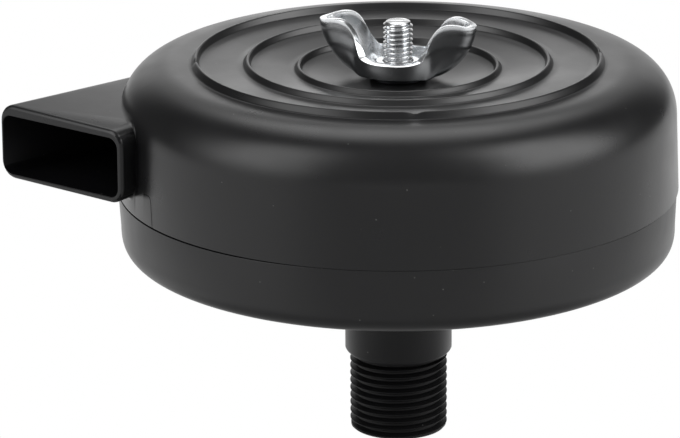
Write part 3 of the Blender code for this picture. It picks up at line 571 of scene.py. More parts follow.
# Distance out from the bead's crest in mm and share of its height: steep sides, rounded crest.
BEAD_LINE = ((0.92, 0.0), (0.80, 0.05), (0.66, 0.20), (0.28, 0.82), (0.18, 0.94), (0.06, 1.0),
             (-0.08, 1.0), (-0.20, 0.94), (-0.30, 0.82), (-0.50, 0.20), (-0.60, 0.05), (-0.72, 0.0))
PRESS_RING_RADII = (28.6 * MM, 18.6 * MM)
PRESS_RING_WIDTH = 1.6 * MM
PRESS_RING_DEPTH = 1.1 * MM
COVER_RIM = SEAM + 0.5 * SEAM_GAP
SHOULDER_START = SEAM + COVER_WALL_HEIGHT
PLATE_EDGE = SHOULDER_START + SHOULDER_HEIGHT
PLATE_RADIUS = BODY_RADIUS - COVER_DRAFT - SHOULDER_WIDTH
PLATE_CENTRE = PLATE_EDGE - PLATE_DISH
DUCT_WIDTH = 26.4 * MM
DUCT_HEIGHT = 12.1 * MM
DUCT_CORNER = 2.8 * MM
PASSAGE_CORNER = 1.7 * MM
FAR_WALL = 0.6 * MM
NEAR_WALL = 1.15 * MM
DUCT_LIFT = 3.7 * MM
DUCT_OVERHANG = 0.45 * MM
DUCT_REACH = 3.1 * MM
DUCT_SLANT = math.tan(math.radians(12.7))
DUCT_INNER_SIDE = cover_low[0] + DUCT_WIDTH
DUCT_OUTER_SIDE = cover_low[0] - DUCT_OVERHANG
DUCT_MOUTH = -math.sqrt(BODY_RADIUS ** 2 - DUCT_INNER_SIDE ** 2) - DUCT_REACH
DUCT_BOTTOM = SEAM + DUCT_LIFT
DUCT_TOP = DUCT_BOTTOM + DUCT_HEIGHT
PASSAGE_LOW = DUCT_BOTTOM + 0.12 * MM
PASSAGE_HIGH = DUCT_TOP - 1.82 * MM
PASSAGE_RISE = 0.01
MOUTH_ROUND = 0.7 * MM
MOUTH_INNER_ROUND = 0.12 * MM
BLEND_SIDE = 0.03 * MM
BLEND_TOP = 1.1 * MM


def plate_height(radius):
    """Top of the cover's plate: the dish of a disc that is loaded at its centre."""
    share = max(radius, CENTRE_FLAT) / PLATE_RADIUS
    start = CENTRE_FLAT / PLATE_RADIUS

    def sag(q):
        return 1.0 - q * q + 2.0 * q * q * math.log(q)

    return PLATE_EDGE - PLATE_DISH * (sag(share) / sag(start)) ** PLATE_DISH_FULLNESS


def wall_line(depth, steps):
    """The cover's wall and shoulder at a depth under its outside."""
    return corner((PLATE_RADIUS, SHOULDER_START), SHOULDER_WIDTH - depth, SHOULDER_HEIGHT - depth,
                  0.0, 0.5 * math.pi, steps, SHOULDER_FULLNESS)


cover_nylon = moulded_nylon("satin_moulded_nylon_cover", "#111112", 0.30)

section = corner((BODY_RADIUS - RIM_ROUND, COVER_RIM + RIM_ROUND), RIM_ROUND, RIM_ROUND,
                 -0.5 * math.pi, 0.0, 4)
section += wall_line(0.0, 40)
previous = PLATE_RADIUS
for bead, bead_height in BEADS:
    for i in range(1, 6):
        radius = previous + (bead + BEAD_LINE[0][0] * MM - previous) * i / 6.0
        section.append((radius, plate_height(radius)))
    for out, up in BEAD_LINE:
        radius = bead + out * MM
        section.append((radius, plate_height(radius) + up * bead_height))
    previous = radius
for i in range(1, 7):
    radius = previous + (CENTRE_FLAT - previous) * i / 6.0
    section.append((radius, plate_height(radius)))
section += [
    (STUD_HOLE + RIM_ROUND, PLATE_CENTRE),
    (STUD_HOLE, PLATE_CENTRE - RIM_ROUND),
    (STUD_HOLE, PLATE_CENTRE - WALL),
]
section += [(CENTRE_FLAT, PLATE_CENTRE - WALL)]
for ring in PRESS_RING_RADII[::-1]:
    for side, pressed in ((-0.5, False), (-0.5, True), (0.5, True), (0.5, False)):
        radius = ring + side * PRESS_RING_WIDTH
        foot = PLATE_CENTRE - WALL + PRESS_RING_DEPTH
        section.append((radius, foot if pressed else plate_height(radius) - WALL))
section += wall_line(WALL, 20)[::-1]
section += [(BODY_RADIUS - WALL, COVER_RIM)]
cover = object_from("upper_housing", turned(section, BODY_STEPS), cover_nylon)


def loft(rings):
    """A closed bmesh bridged through rings of equally many points."""
    bm = bmesh.new()
    loops = []
    for ring in rings:
        points = [bm.verts.new(point) for point in ring]
        loops.append([bm.edges.new(pair) for pair in zip(points, points[1:] + points[:1])])
    for first, second in zip(loops, loops[1:]):
        bmesh.ops.bridge_loops(bm, edges=first + second)
    for loop in (loops[0], loops[-1]):
        bmesh.ops.contextual_create(bm, geom=loop)
    bmesh.ops.recalc_face_normals(bm, faces=bm.faces)
    return bm


def duct_lean(x, y, z):
    """How far the duct's outside is off square there: its mouth hangs a little, most on the near side."""
    across = (x - DUCT_OUTER_SIDE) / DUCT_WIDTH
    upper = (z - DUCT_BOTTOM) / DUCT_HEIGHT
    along = (y - DUCT_MOUTH) / (35.0 * MM)
    return (-0.63 - 0.32 * across + upper * (0.79 - 0.24 * across) + 0.35 * along) * MM


def duct_ring(y, inset):
    """The duct's outline at a place along it: its outer side slants in, the inner one is square."""
    round_off = DUCT_CORNER - inset
    near = DUCT_INNER_SIDE - DUCT_CORNER
    far = DUCT_OUTER_SIDE + DUCT_CORNER + DUCT_SLANT * (y - DUCT_MOUTH)
    low = DUCT_BOTTOM + DUCT_CORNER
    high = DUCT_TOP - DUCT_CORNER
    ring = []
    for x, z, start in ((near, low, -0.5), (near, high, 0.0), (far, high, 0.5), (far, low, 1.0)):
        ring += corner((x, z), round_off, round_off, start * math.pi, (start + 0.5) * math.pi, 8)
    return [(x, y, z + duct_lean(x, y, z)) for x, z in ring]


def passage_ring(y, outset):
    """The outline of the duct's passage at a place along it."""
    round_off = PASSAGE_CORNER + outset
    near = DUCT_INNER_SIDE - NEAR_WALL - PASSAGE_CORNER
    far = DUCT_OUTER_SIDE + FAR_WALL + PASSAGE_CORNER + DUCT_SLANT * (y - DUCT_MOUTH)
    low = PASSAGE_LOW + PASSAGE_CORNER
    high = PASSAGE_HIGH - PASSAGE_CORNER
    ring = []
    for x, z, start in ((near, low, -0.5), (near, high, 0.0), (far, high, 0.5), (far, low, 1.0)):
        ring += corner((x, z), round_off, round_off, start * math.pi, (start + 0.5) * math.pi, 8)
    return [(x, y, z + PASSAGE_RISE * (y - DUCT_MOUTH)) for x, z in ring]


def side_reaches(side, radius):
    """The Y at which the slanting side that starts at X = side in the mouth is at a radius."""
    at_axis = side - DUCT_SLANT * DUCT_MOUTH
    a = 1.0 + DUCT_SLANT ** 2
    b = 2.0 * DUCT_SLANT * at_axis
    c = at_axis ** 2 - radius ** 2
    return (-b - math.sqrt(b * b - 4.0 * a * c)) / (2.0 * a)


duct_end = side_reaches(DUCT_OUTER_SIDE, BODY_RADIUS - WALL)
rings = []
for step in range(5):
    angle = 0.125 * math.pi * step
    behind = MOUTH_ROUND * (1.0 - math.sin(angle))
    rings.append(duct_ring(DUCT_MOUTH + behind, MOUTH_ROUND * (1.0 - math.cos(angle))))
rings = rings[::-1] + [duct_ring(duct_end, 0.0)]
duct = object_from("duct", loft(rings), cover_nylon)
line = wall_line(0.5 * WALL, 24)
core = [(0.0, COVER_RIM - WALL), (line[0][0], COVER_RIM - WALL)] + line + [(0.0, line[-1][1])]
carve(duct, turned(core, BODY_STEPS), "DIFFERENCE")
step = cover.modifiers.new("duct", "BOOLEAN")
step.operation = "UNION"
step.solver = "EXACT"
step.object = duct
settle(cover)
bpy.data.objects.remove(duct)


def wall_radius(height):
    """The cover's outer radius at a height."""
    if height < SHOULDER_START:
        return BODY_RADIUS - COVER_DRAFT * (height - SEAM) / COVER_WALL_HEIGHT
    share = (height - SHOULDER_START) / SHOULDER_HEIGHT
    return PLATE_RADIUS + SHOULDER_WIDTH * (1.0 - share ** SHOULDER_FULLNESS) ** (1.0 / SHOULDER_FULLNESS)


def wall_point(x, z, sunk=0.0):
    """The point of the cover's wall on the mouth's side at a place across and up."""
    return Vector((x, -math.sqrt(wall_radius(z) ** 2 - x * x) + sunk, z))


# The blend between the duct and the wall, a bead of fillet from under the duct round its near side
# and over its top. An outline point is its place across and up, the way out of the duct there, and
# how much of the blend's full width it has.
BLEND_LENGTH = 0.72 * DUCT_WIDTH
BLEND_SUNK = 0.01 * MM
outline = []
far_side = DUCT_INNER_SIDE - BLEND_LENGTH
near_middle = DUCT_INNER_SIDE - DUCT_CORNER
for share in [i / 10.0 for i in range(10)]:
    outline.append((far_side + (near_middle - far_side) * share, DUCT_BOTTOM, 0.0, -1.0, share))
for low_side, first in ((True, -90.0), (False, 0.0)):
    centre = DUCT_BOTTOM + DUCT_CORNER if low_side else DUCT_TOP - DUCT_CORNER
    for i in range(7):
        angle = math.radians(first + 15.0 * i)
        c, s = math.cos(angle), math.sin(angle)
        outline.append((near_middle + DUCT_CORNER * c, centre + DUCT_CORNER * s, c, s, 1.0))
for share in [1.0 - i / 10.0 for i in range(1, 11)]:
    outline.append((far_side + (near_middle - far_side) * share, DUCT_TOP, 0.0, 1.0, share))
rings = []
for x, z, out_x, out_z, share in outline:
    spread = (BLEND_SIDE + (BLEND_TOP - BLEND_SIDE) * abs(out_z) ** 3) * (0.4 + 0.6 * share ** 3)
    z += duct_lean(x, wall_point(x, z).y, z)
    crease = wall_point(x, z)
    on_duct = crease + Vector((-BLEND_SUNK * out_x, -spread, -BLEND_SUNK * out_z))
    on_wall = wall_point(x + spread * out_x, z + spread * out_z, BLEND_SUNK)
    ring = [crease + Vector((-0.45 * MM * out_x, 0.7 * MM, -0.45 * MM * out_z))]
    for i in range(6):
        t = i / 5.0
        ring.append((1.0 - t) ** 2 * on_duct + 2.0 * t * (1.0 - t) * crease + t * t * on_wall)
    rings.append(ring)
carve(cover, loft(rings), "UNION")

passage_end = side_reaches(DUCT_OUTER_SIDE + FAR_WALL, BODY_RADIUS - 3.0 * WALL)
rings = [passage_ring(DUCT_MOUTH - MM, MOUTH_INNER_ROUND), passage_ring(DUCT_MOUTH, MOUTH_INNER_ROUND),
         passage_ring(DUCT_MOUTH + MOUTH_INNER_ROUND, 0.0), passage_ring(passage_end, 0.0)]
carve(cover, loft(rings), "DIFFERENCE")

# The line left by the mould's slide: up from the seam beside the duct, and round under its foot.
# Its points are an azimuth in degrees and a height.
SLIDE_LINE = 0.16 * MM
SLIDE_DEPTH = 0.13 * MM
line = [(-115.8, SEAM + 5.0 * MM), (-114.2, SEAM + 5.2 * MM), (-113.2, SEAM + 5.1 * MM),
        (-112.7, SEAM + 4.6 * MM), (-112.5, SEAM + 3.8 * MM), (-111.6, SEAM - MM)]
rings = []
for before, here, after in zip(line[:1] + line, line, line[1:] + line[-1:]):
    along = Vector((math.radians(after[0] - before[0]) * BODY_RADIUS, after[1] - before[1])).normalized()
    ring = []
    for side, depth in ((-0.5, -SLIDE_DEPTH), (-0.5, 0.3 * MM), (0.5, 0.3 * MM), (0.5, -SLIDE_DEPTH)):
        angle = math.radians(here[0]) - side * SLIDE_LINE * along.y / BODY_RADIUS
        height = here[1] + side * SLIDE_LINE * along.x
        radius = wall_radius(height) + depth
        ring.append((radius * math.cos(angle), radius * math.sin(angle), height))
    rings.append(ring)
carve(cover, loft(rings), "DIFFERENCE")

# The passage was formed by an unpolished core, so it is duller; its copy is also painted darker and
# reflects less, as painted shade inside the recess. The plate inside the outer bead shows a little more
# shine at a low angle: a painted sheen, from a copy that reflects more strongly.
cover.data.materials.append(moulded_nylon("dull_nylon_inside_painted_shade", "#08080a", 0.5, 0.2))
# The plate's copy reflects more strongly: a painted sheen for the brighter plate.
cover.data.materials.append(moulded_nylon("nylon_plate_painted_sheen", "#111112", 0.31, 0.7))
for face in cover.data.polygons:
    centre = face.center
    along = centre.y - DUCT_MOUTH
    across = math.hypot(centre.x, centre.y)
    in_passage = (along > MOUTH_INNER_ROUND and centre.y < passage_end + 2.0 * WALL
                  and DUCT_OUTER_SIDE + 0.5 * FAR_WALL + DUCT_SLANT * along < centre.x
                  and centre.x < DUCT_INNER_SIDE - 0.5 * NEAR_WALL
                  and PASSAGE_LOW - 0.3 * MM < centre.z < PASSAGE_HIGH + 0.6 * MM)
    if in_passage:
        face.material_index = 1
    elif across < BEADS[0][0] and centre.z > PLATE_CENTRE - 0.5 * WALL:
        face.material_index = 2

# Three small nicks in the outer bead, from the mould and from handling: azimuth in degrees, half
# width in degrees, depth.
for azimuth, half_width, depth in ((-48.6, 1.6, 0.4 * MM), (41.4, 1.8, 0.5 * MM), (-137.4, 1.3, 0.35 * MM)):
    for vert in cover.data.vertices:
        if vert.co.z < PLATE_EDGE + 0.3 * MM or abs(math.hypot(vert.co.x, vert.co.y) - BEADS[0][0]) > MM:
            continue
        off = (math.degrees(math.atan2(vert.co.y, vert.co.x)) - azimuth) / half_width
        vert.co.z -= depth * math.exp(-off * off)
smooth(cover, 38.0)
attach(cover, "cover")
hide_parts("top_cover")


# The centre stud is a length of steel rod with a 5 mm thread rolled at each end and bright zinc
# plating. Two nuts clamp it to the spider, and its top stands out of the cover.
stud_low, stud_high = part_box("center_stud")
STUD_RADIUS = 2.5 * MM
STUD_PITCH = 0.8 * MM
STUD_THREAD_DEPTH = 0.43 * MM
STUD_TIP = 0.5 * MM
STUD_TOP_THREAD = 12.0 * MM
STUD_FOOT_THREAD = 16.8 * MM
STUD_SHORT_OF_CAD = 0.3 * MM
STUD_STEPS = 48

# Zinc plating over pressed or rolled steel: a cool grey, mirror-like where it is bright, softened by
# the fine grain of the plating, with the faint uneven brightness that tumbling leaves. The grain is
# drawn coarser than it is, so that it shows.
TUMBLING_CLOUDS = 1.6 * MM
PLATING_GRAIN = 0.25 * MM
GRAIN_DEPTH = 0.02 * MM


def plated_steel(name, colour, roughness):
    """One finish of plated steel, or of the dark steel that paints the shade under the wing nut."""
    made, tree, output = start_material(name)
    place = add_node(tree, "ShaderNodeTexCoord", {}, {})
    clouds = add_node(tree, "ShaderNodeTexNoise", {"Scale": 1.0 / TUMBLING_CLOUDS, "Detail": 4.0},
                      {"Vector": place.outputs["Object"]})
    gloss = add_node(tree, "ShaderNodeMapRange",
                     {"From Min": 0.3, "From Max": 0.7,
                      "To Min": roughness - 0.04, "To Max": roughness + 0.06},
                     {"Value": clouds.outputs["Fac"]})
    grain = add_node(tree, "ShaderNodeTexNoise", {"Scale": 1.0 / PLATING_GRAIN, "Detail": 2.0},
                     {"Vector": place.outputs["Object"]})
    bump = add_node(tree, "ShaderNodeBump", {"Strength": 0.06, "Distance": GRAIN_DEPTH},
                    {"Height": grain.outputs["Fac"]})
    shader = add_node(tree, "ShaderNodeBsdfPrincipled", {"Base Color": srgb(colour), "Metallic": 1.0},
                      {"Roughness": gloss.outputs["Result"], "Normal": bump.outputs["Normal"]})
    tree.links.new(shader.outputs[0], output.inputs["Surface"])
    return made


stud_zinc = plated_steel("bright_zinc_plated_rolled_steel", "#e4e5e6", 0.17)
stud_top = stud_high[2] - STUD_SHORT_OF_CAD
top_thread = stud_high[2] - STUD_TOP_THREAD
foot_thread = stud_low[2] + STUD_FOOT_THREAD
bm = threaded_rod(STUD_RADIUS, STUD_THREAD_DEPTH, STUD_PITCH, top_thread, stud_top, STUD_STEPS)
trim_tip(bm, STUD_RADIUS, STUD_TIP, stud_top, -1.0)
trim_tip(bm, STUD_RADIUS, STUD_THREAD_DEPTH, top_thread, 1.0)
stud = object_from("threaded_stud", bm, stud_zinc)
bm = threaded_rod(STUD_RADIUS, STUD_THREAD_DEPTH, STUD_PITCH, stud_low[2], foot_thread, STUD_STEPS)
trim_tip(bm, STUD_RADIUS, STUD_TIP, stud_low[2], 1.0)
trim_tip(bm, STUD_RADIUS, STUD_THREAD_DEPTH, foot_thread, -1.0)
carve(stud, bm, "UNION")
shank = STUD_RADIUS - STUD_THREAD_DEPTH
section = [(0.0, foot_thread - MM), (shank, foot_thread - MM), (shank, top_thread + MM),
           (0.0, top_thread + MM)]
carve(stud, turned(section, STUD_STEPS), "UNION")
smooth(stud, 50.0)
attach(stud, "base")
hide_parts("center_stud")


# Two plain hexagon nuts, cold forged and tapped, and two punched washers clamp the stud to its
# carrier, one pair over the hub and one under it. A thinner washer lies under the wing nut, its steel
# painted dark as the shade under the nut.
NUT_CROWN = 30.0 * DEGREE
NUT_FACE = 0.95
NUT_MOUTH = 2.75 * MM
NUT_MOUTH_DEPTH = 0.3 * MM
NUT_THREAD_START = 0.5 * MM
NUT_THREAD_PLAY = 0.05 * MM
WASHER_PLAY = 0.15 * MM
plain_zinc = plated_steel("plain_zinc_plated_steel", "#a9abad", 0.30)
# The dark steel is painted shade: it stands in for the shadow under the wing nut.
dark_steel_painted_shade = plated_steel("dark_steel_as_painted_shade", "#2b2c2e", 0.45)

for name, node in (("hexagon_nut_upper", "stud_nut_upper"), ("hexagon_nut_lower", "stud_nut_lower")):
    low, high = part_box(node)
    flats = 0.5 * min(high[0] - low[0], high[1] - low[1])
    corners = flats / math.cos(30.0 * DEGREE)
    bm = bmesh.new()
    bmesh.ops.create_circle(bm, cap_ends=True, segments=6, radius=corners)
    if high[0] - low[0] > high[1] - low[1]:
        bmesh.ops.rotate(bm, cent=(0.0, 0.0, 0.0), matrix=Matrix.Rotation(30.0 * DEGREE, 3, "Z"),
                         verts=bm.verts)
    bmesh.ops.translate(bm, vec=(0.0, 0.0, low[2]), verts=bm.verts)
    raised = bmesh.ops.extrude_face_region(bm, geom=bm.faces[:])["geom"]
    bmesh.ops.translate(bm, vec=(0.0, 0.0, high[2] - low[2]),
                        verts=[item for item in raised if isinstance(item, bmesh.types.BMVert)])
    bmesh.ops.recalc_face_normals(bm, faces=bm.faces)
    piece = object_from(name, bm, plain_zinc)
    past = corners + 0.1 * MM
    face = NUT_FACE * flats
    fall = (past - face) * math.tan(NUT_CROWN)
    crown = [(0.0, low[2]), (face, low[2]), (past, low[2] + fall), (past, high[2] - fall), (face, high[2]),
             (0.0, high[2])]
    carve(piece, turned(crown, 96), "INTERSECT")
    thread = STUD_RADIUS + NUT_THREAD_PLAY
    bore = [(0.0, low[2] - MM), (NUT_MOUTH + MM, low[2] - MM), (NUT_MOUTH, low[2] + NUT_MOUTH_DEPTH),
            (thread, low[2] + NUT_THREAD_START), (thread, high[2] - NUT_THREAD_START),
            (NUT_MOUTH, high[2] - NUT_MOUTH_DEPTH), (NUT_MOUTH + MM, high[2] + MM), (0.0, high[2] + MM)]
    carve(piece, turned(bore, 48), "DIFFERENCE")
    smooth(piece, 30.0)
    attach(piece, "base")
    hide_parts(node)

for name, node, body in (("plain_washer_upper", "stud_washer_upper", "base"),
                         ("plain_washer_lower", "stud_washer_lower", "base"),
                         ("thin_washer", "nut_washer", "washer")):
    low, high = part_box(node)
    radius = min(high[0], high[1])
    soft_edge = 0.2 * (high[2] - low[2])
    bm = rounded_ring(STUD_RADIUS + WASHER_PLAY, radius, low[2], high[2], soft_edge, 72)
    # The thin washer under the wing nut is painted dark, as its shade.
    piece = object_from(name, bm, dark_steel_painted_shade if body == "washer" else plain_zinc)
    smooth(piece, 38.0)
    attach(piece, body)
    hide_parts(node)


# The wing nut is pressed from one piece of steel sheet: a shallow dish whose two ends are drawn up
# into scoop-shaped ears, with a tapped collar in its floor, plated bright zinc.
nut_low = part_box("wing_nut")[0]
SHEET = 1.15 * MM
SHEET_EDGE = 0.25 * MM
NUT_STEPS = 144
NUT_RISE = 14
NUT_TURN = 23.2 * DEGREE
NUT_COLLAR_RADIUS = 3.9 * MM
NUT_COLLAR_HEIGHT = 1.0 * MM
NUT_COLLAR_EDGE = 0.3 * MM
NUT_BORE = 2.65 * MM
LIP_FLARE = 0.11 * MM
# Angle from the ear's middle in degrees, then the rim's radius, the rim's height over the nut's foot
# and the flat floor's radius, in mm.
NUT_RIM = ((0.0, 13.5, 8.9, 6.2), (9.0, 12.7, 9.0, 6.3), (18.0, 10.6, 9.5, 6.5), (25.0, 9.1, 9.1, 6.8),
           (31.0, 8.05, 7.6, 6.8), (37.0, 7.6, 5.2, 6.7), (45.0, 7.4, 3.5, 6.3), (90.0, 7.0, 2.95, 5.8))


def nut_rim(angle):
    """The rim's radius and height and the floor's radius, read smoothly between the set points."""
    off = math.degrees(abs(math.remainder(angle, math.pi)))
    first, last = NUT_RIM[1], NUT_RIM[-2]
    keys = [(-first[0], *first[1:])] + list(NUT_RIM) + [(180.0 - last[0], *last[1:])]
    for before, here, there, after in zip(keys, keys[1:], keys[2:], keys[3:]):
        if off <= there[0]:
            break
    span = there[0] - here[0]
    t = (off - here[0]) / span
    found = []
    for axis in (1, 2, 3):
        leave = (there[axis] - before[axis]) / (there[0] - before[0]) * span
        arrive = (after[axis] - here[axis]) / (after[0] - here[0]) * span
        gap = there[axis] - here[axis]
        value = here[axis] + t * leave + t * t * (3.0 * gap - 2.0 * leave - arrive)
        found.append((value + t * t * t * (leave + arrive - 2.0 * gap)) * MM)
    return found


nut_zinc = plated_steel("bright_zinc_plated_pressed_steel", "#e2e4e6", 0.17)
bm = bmesh.new()
made = bmesh.ops.create_circle(bm, cap_ends=False, segments=NUT_STEPS, radius=NUT_BORE)
ring = made["verts"]
bmesh.ops.translate(bm, vec=(0.0, 0.0, nut_low[2]), verts=ring)
edges = bm.edges[:]
for share in [None] + [i / NUT_RISE for i in range(NUT_RISE + 1)]:
    grown = bmesh.ops.extrude_edge_only(bm, edges=edges)["geom"]
    ring = [item for item in grown if isinstance(item, bmesh.types.BMVert)]
    edges = [item for item in grown if isinstance(item, bmesh.types.BMEdge)]
    for vert in ring:
        angle = math.atan2(vert.co.y, vert.co.x)
        rim_radius, rim_height, floor_radius = nut_rim(angle)
        radius, height = NUT_COLLAR_RADIUS, 0.0
        if share is not None:
            u = math.sin(0.5 * math.pi * share)
            radius = floor_radius + (rim_radius - floor_radius) * u
            rise = 0.72 * u * u + 0.28 * (1.0 - math.sqrt(max(0.0, 1.0 - u * u))) ** 3
            flare = LIP_FLARE * max(0.0, 1.0 - (rim_height / MM - 2.95) / 2.5)
            radius += flare * (max(rise - 0.7, 0.0) / 0.3) ** 2
            height = rim_height * rise
        vert.co = (radius * math.cos(angle), radius * math.sin(angle), nut_low[2] + height)
bmesh.ops.rotate(bm, cent=(0.0, 0.0, 0.0), matrix=Matrix.Rotation(NUT_TURN, 3, "Z"), verts=bm.verts)
bmesh.ops.recalc_face_normals(bm, faces=bm.faces)
nut = object_from("pressed_wing_nut", bm, nut_zinc)
sheet = nut.modifiers.new("sheet", "SOLIDIFY")
sheet.thickness = SHEET
sheet.offset = -1.0
sheet.use_even_offset = True
edge = nut.modifiers.new("edge", "BEVEL")
edge.width = SHEET_EDGE
edge.segments = 3
edge.limit_method = "ANGLE"
edge.angle_limit = 40.0 * DEGREE
settle(nut)
collar_foot = nut_low[2] + NUT_COLLAR_EDGE
collar_top = nut_low[2] + SHEET + NUT_COLLAR_HEIGHT
collar = [(NUT_BORE, collar_foot), (NUT_COLLAR_RADIUS, collar_foot),
          (NUT_COLLAR_RADIUS, collar_top - NUT_COLLAR_EDGE),
          (NUT_COLLAR_RADIUS - NUT_COLLAR_EDGE, collar_top), (NUT_BORE, collar_top)]
carve(nut, turned(collar, 72), "UNION")
smooth(nut, 45.0)
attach(nut, "wing_nut")
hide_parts("wing_nut")


# The filter cartridge's paper is resin-bonded cellulose, folded into 36 upright pleats and closed
# into a ring. Its folds are rounded, and its two ends are cast into the end rings.
paper_low, paper_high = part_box("filter_paper")
PLEATS = 36
PAPER = 0.45 * MM
FOLD_RADIUS = 0.55 * MM
FOLD_STEPS = 5
PAPER_ENDS_IN = 0.9 * MM
PLEAT_OUTER = paper_high[0] - 0.5 * PAPER
PLEAT_INNER = 18.0 * MM + 0.5 * PAPER

# Filter paper: warm straw colour, matt, with short matted fibres, and slightly browner in clouds
# where it took up more resin.
RESIN_CLOUDS = 5.0 * MM
FIBRE_LENGTH = 0.5 * MM
FIBRE_DEPTH = 0.05 * MM
filter_paper, tree, output = start_material("pleated_cellulose_filter_paper")
place = add_node(tree, "ShaderNodeTexCoord", {}, {})
resin = add_node(tree, "ShaderNodeTexNoise", {"Scale": 1.0 / RESIN_CLOUDS, "Detail": 3.0},
                 {"Vector": place.outputs["Object"]})
fibres = add_node(tree, "ShaderNodeTexNoise", {"Scale": 1.0 / FIBRE_LENGTH, "Detail": 5.0, "Roughness": 0.7},
                  {"Vector": place.outputs["Object"]})
fibre_tone = add_node(tree, "ShaderNodeMapRange", {"From Min": 0.35, "From Max": 0.65},
                      {"Value": fibres.outputs["Fac"]})
tone = add_node(tree, "ShaderNodeMix", {"data_type": "RGBA", 6: srgb("#d9c078"), 7: srgb("#c9a95c")},
                {0: resin.outputs["Fac"]})
tone = add_node(tree, "ShaderNodeMix", {"data_type": "RGBA", 7: srgb("#e6d4a0")},
                {0: fibre_tone.outputs["Result"], 6: tone.outputs[2]})
bump = add_node(tree, "ShaderNodeBump", {"Strength": 0.5, "Distance": FIBRE_DEPTH},
                {"Height": fibres.outputs["Fac"]})
shader = add_node(tree, "ShaderNodeBsdfPrincipled", {"IOR": 1.5, "Roughness": 0.85},
                  {"Base Color": tone.outputs[2], "Normal": bump.outputs["Normal"]})
tree.links.new(shader.outputs[0], output.inputs["Surface"])

half_fold = math.pi / PLEATS
fold_turn = 0.5 * math.pi - math.atan((PLEAT_OUTER - PLEAT_INNER) / (PLEAT_OUTER * half_fold))
path = []
for index in range(PLEATS):
    for radius, inwards in ((PLEAT_OUTER, 1.0), (PLEAT_INNER, -1.0)):
        middle = 2.0 * half_fold * index + (0.0 if inwards > 0.0 else half_fold)
        centre = radius - inwards * FOLD_RADIUS
        for i in range(FOLD_STEPS + 1):
            swing = (0.5 * math.pi - fold_turn) * (2.0 * i / FOLD_STEPS - 1.0)
            out = centre + inwards * FOLD_RADIUS * math.cos(swing)
            along = FOLD_RADIUS * math.sin(swing) / centre
            path.append((out, middle + along))
bm = bmesh.new()
low_end = paper_low[2] - PAPER_ENDS_IN
line = [bm.verts.new((out * math.cos(angle), out * math.sin(angle), low_end)) for out, angle in path]
edges = [bm.edges.new(pair) for pair in zip(line, line[1:] + line[:1])]
raised = bmesh.ops.extrude_edge_only(bm, edges=edges)["geom"]
bmesh.ops.translate(bm, vec=(0.0, 0.0, paper_high[2] - paper_low[2] + 2.0 * PAPER_ENDS_IN),
                    verts=[item for item in raised if isinstance(item, bmesh.types.BMVert)])
bmesh.ops.recalc_face_normals(bm, faces=bm.faces)
paper = object_from("pleated_paper", bm, filter_paper)
step = paper.modifiers.new("paper", "SOLIDIFY")
step.thickness = PAPER
step.offset = 0.0
settle(paper)
smooth(paper, 50.0)
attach(paper, "filter")
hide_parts("filter_paper")


# The cartridge's two end rings are cast round the ends of the paper in soft polyurethane, which
# seals against the floor and against the cover's press rings.
END_RING_INNER = 16.6 * MM
END_RING_ROUND = 0.6 * MM

# Cast polyurethane: cream white with a dull skin, faintly yellowed in clouds, with fine pits where
# bubbles broke against the mould.
YELLOWED_CLOUDS = 7.0 * MM
PIT_SPACING = 1.3 * MM
PIT_DEPTH = 0.06 * MM
end_cast, tree, output = start_material("cast_soft_polyurethane")
place = add_node(tree, "ShaderNodeTexCoord", {}, {})
clouds = add_node(tree, "ShaderNodeTexNoise", {"Scale": 1.0 / YELLOWED_CLOUDS, "Detail": 3.0},
                  {"Vector": place.outputs["Object"]})
pits = add_node(tree, "ShaderNodeTexVoronoi", {"Scale": 1.0 / PIT_SPACING},
                {"Vector": place.outputs["Object"]})
pit_wall = add_node(tree, "ShaderNodeMapRange", {"From Min": 0.05, "From Max": 0.22},
                    {"Value": pits.outputs["Distance"]})
tone = add_node(tree, "ShaderNodeMix", {"data_type": "RGBA", 6: srgb("#d8d2c0"), 7: srgb("#c7bda2")},
                {0: clouds.outputs["Fac"]})
bump = add_node(tree, "ShaderNodeBump", {"Strength": 0.6, "Distance": PIT_DEPTH},
                {"Height": pit_wall.outputs["Result"]})
shader = add_node(tree, "ShaderNodeBsdfPrincipled", {"IOR": 1.5, "Roughness": 0.55},
                  {"Base Color": tone.outputs[2], "Normal": bump.outputs["Normal"]})
tree.links.new(shader.outputs[0], output.inputs["Surface"])

for name, node in (("cast_ring_top", "filter_top_ring"), ("cast_ring_bottom", "filter_bottom_ring")):
    low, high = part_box(node)
    bm = rounded_ring(END_RING_INNER, high[0], low[2], high[2], END_RING_ROUND, 144)
    piece = object_from(name, bm, end_cast)
    smooth(piece, 38.0)
    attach(piece, "filter")
    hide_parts(node)


# The core is a tube rolled from perforated galvanised sheet, which keeps the paper from being
# sucked in. Its round holes are punched before it is rolled.
core_low, core_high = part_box("filter_core")
CORE_HOLES_AROUND = 26
CORE_HOLE_ROWS = 5
CORE_HOLE_RADIUS = 1.25 * MM
CORE_SHEET = 0.6 * MM

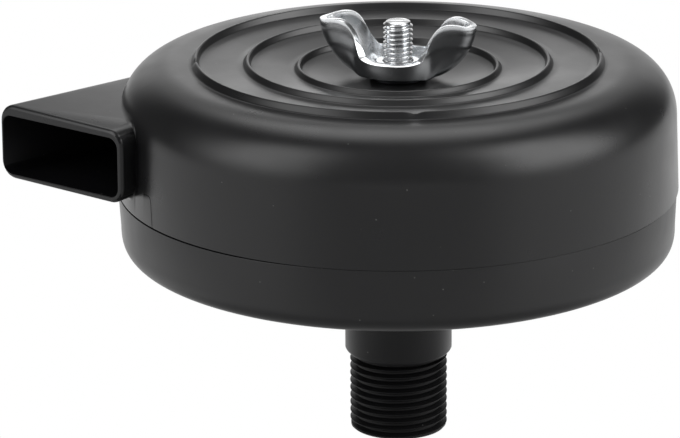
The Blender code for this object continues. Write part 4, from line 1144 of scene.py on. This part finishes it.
# Galvanised sheet: mid grey zinc in large dull crystals of uneven brightness, fairly smooth.
ZINC_CRYSTALS = 3.0 * MM
galvanised, tree, output = start_material("galvanised_perforated_sheet")
place = add_node(tree, "ShaderNodeTexCoord", {}, {})
crystals = add_node(tree, "ShaderNodeTexVoronoi", {"Scale": 1.0 / ZINC_CRYSTALS},
                    {"Vector": place.outputs["Object"]})
crystal_tone = add_node(tree, "ShaderNodeSeparateColor", {}, {0: crystals.outputs["Color"]})
tone = add_node(tree, "ShaderNodeMix", {"data_type": "RGBA", 6: srgb("#94979a"), 7: srgb("#b4b7ba")},
                {0: crystal_tone.outputs[0]})
gloss = add_node(tree, "ShaderNodeMapRange", {"To Min": 0.34, "To Max": 0.5},
                 {"Value": crystal_tone.outputs[1]})
shader = add_node(tree, "ShaderNodeBsdfPrincipled", {"Metallic": 1.0},
                  {"Base Color": tone.outputs[2], "Roughness": gloss.outputs["Result"]})
tree.links.new(shader.outputs[0], output.inputs["Surface"])

bm = bmesh.new()
bmesh.ops.create_grid(bm, x_segments=2 * CORE_HOLES_AROUND, y_segments=2 * CORE_HOLE_ROWS, size=0.5)
sheet_radius = core_high[0] - 0.5 * CORE_SHEET
core_height = core_high[2] - core_low[2]
core_middle = 0.5 * (core_low[2] + core_high[2])
bmesh.ops.scale(bm, vec=(TAU * sheet_radius, core_height, 1.0), verts=bm.verts)
cell = TAU * sheet_radius / (2 * CORE_HOLES_AROUND)
row = core_height / (2 * CORE_HOLE_ROWS)
middles = []
for vert in bm.verts:
    column = round((vert.co.x + math.pi * sheet_radius) / cell)
    line = round((vert.co.y + 0.5 * core_height) / row)
    if column % 2 == 1 and line % 2 == 1:
        middles.append(vert)
punched = bmesh.ops.bevel(bm, geom=middles, offset=CORE_HOLE_RADIUS, segments=3, profile=0.5,
                          affect="VERTICES", material=-1)
holes = [face for face in punched["faces"] if len(face.verts) >= 8]
bmesh.ops.delete(bm, geom=holes, context="FACES")
for vert in bm.verts:
    angle = vert.co.x / sheet_radius
    vert.co = (sheet_radius * math.cos(angle), sheet_radius * math.sin(angle), core_middle + vert.co.y)
bmesh.ops.remove_doubles(bm, verts=bm.verts, dist=1e-6)
bmesh.ops.recalc_face_normals(bm, faces=bm.faces)
core = object_from("perforated_core", bm, galvanised)
step = core.modifiers.new("sheet", "SOLIDIFY")
step.thickness = CORE_SHEET
step.offset = 0.0
settle(core)
smooth(core, 40.0)
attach(core, "filter")
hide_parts("filter_core")
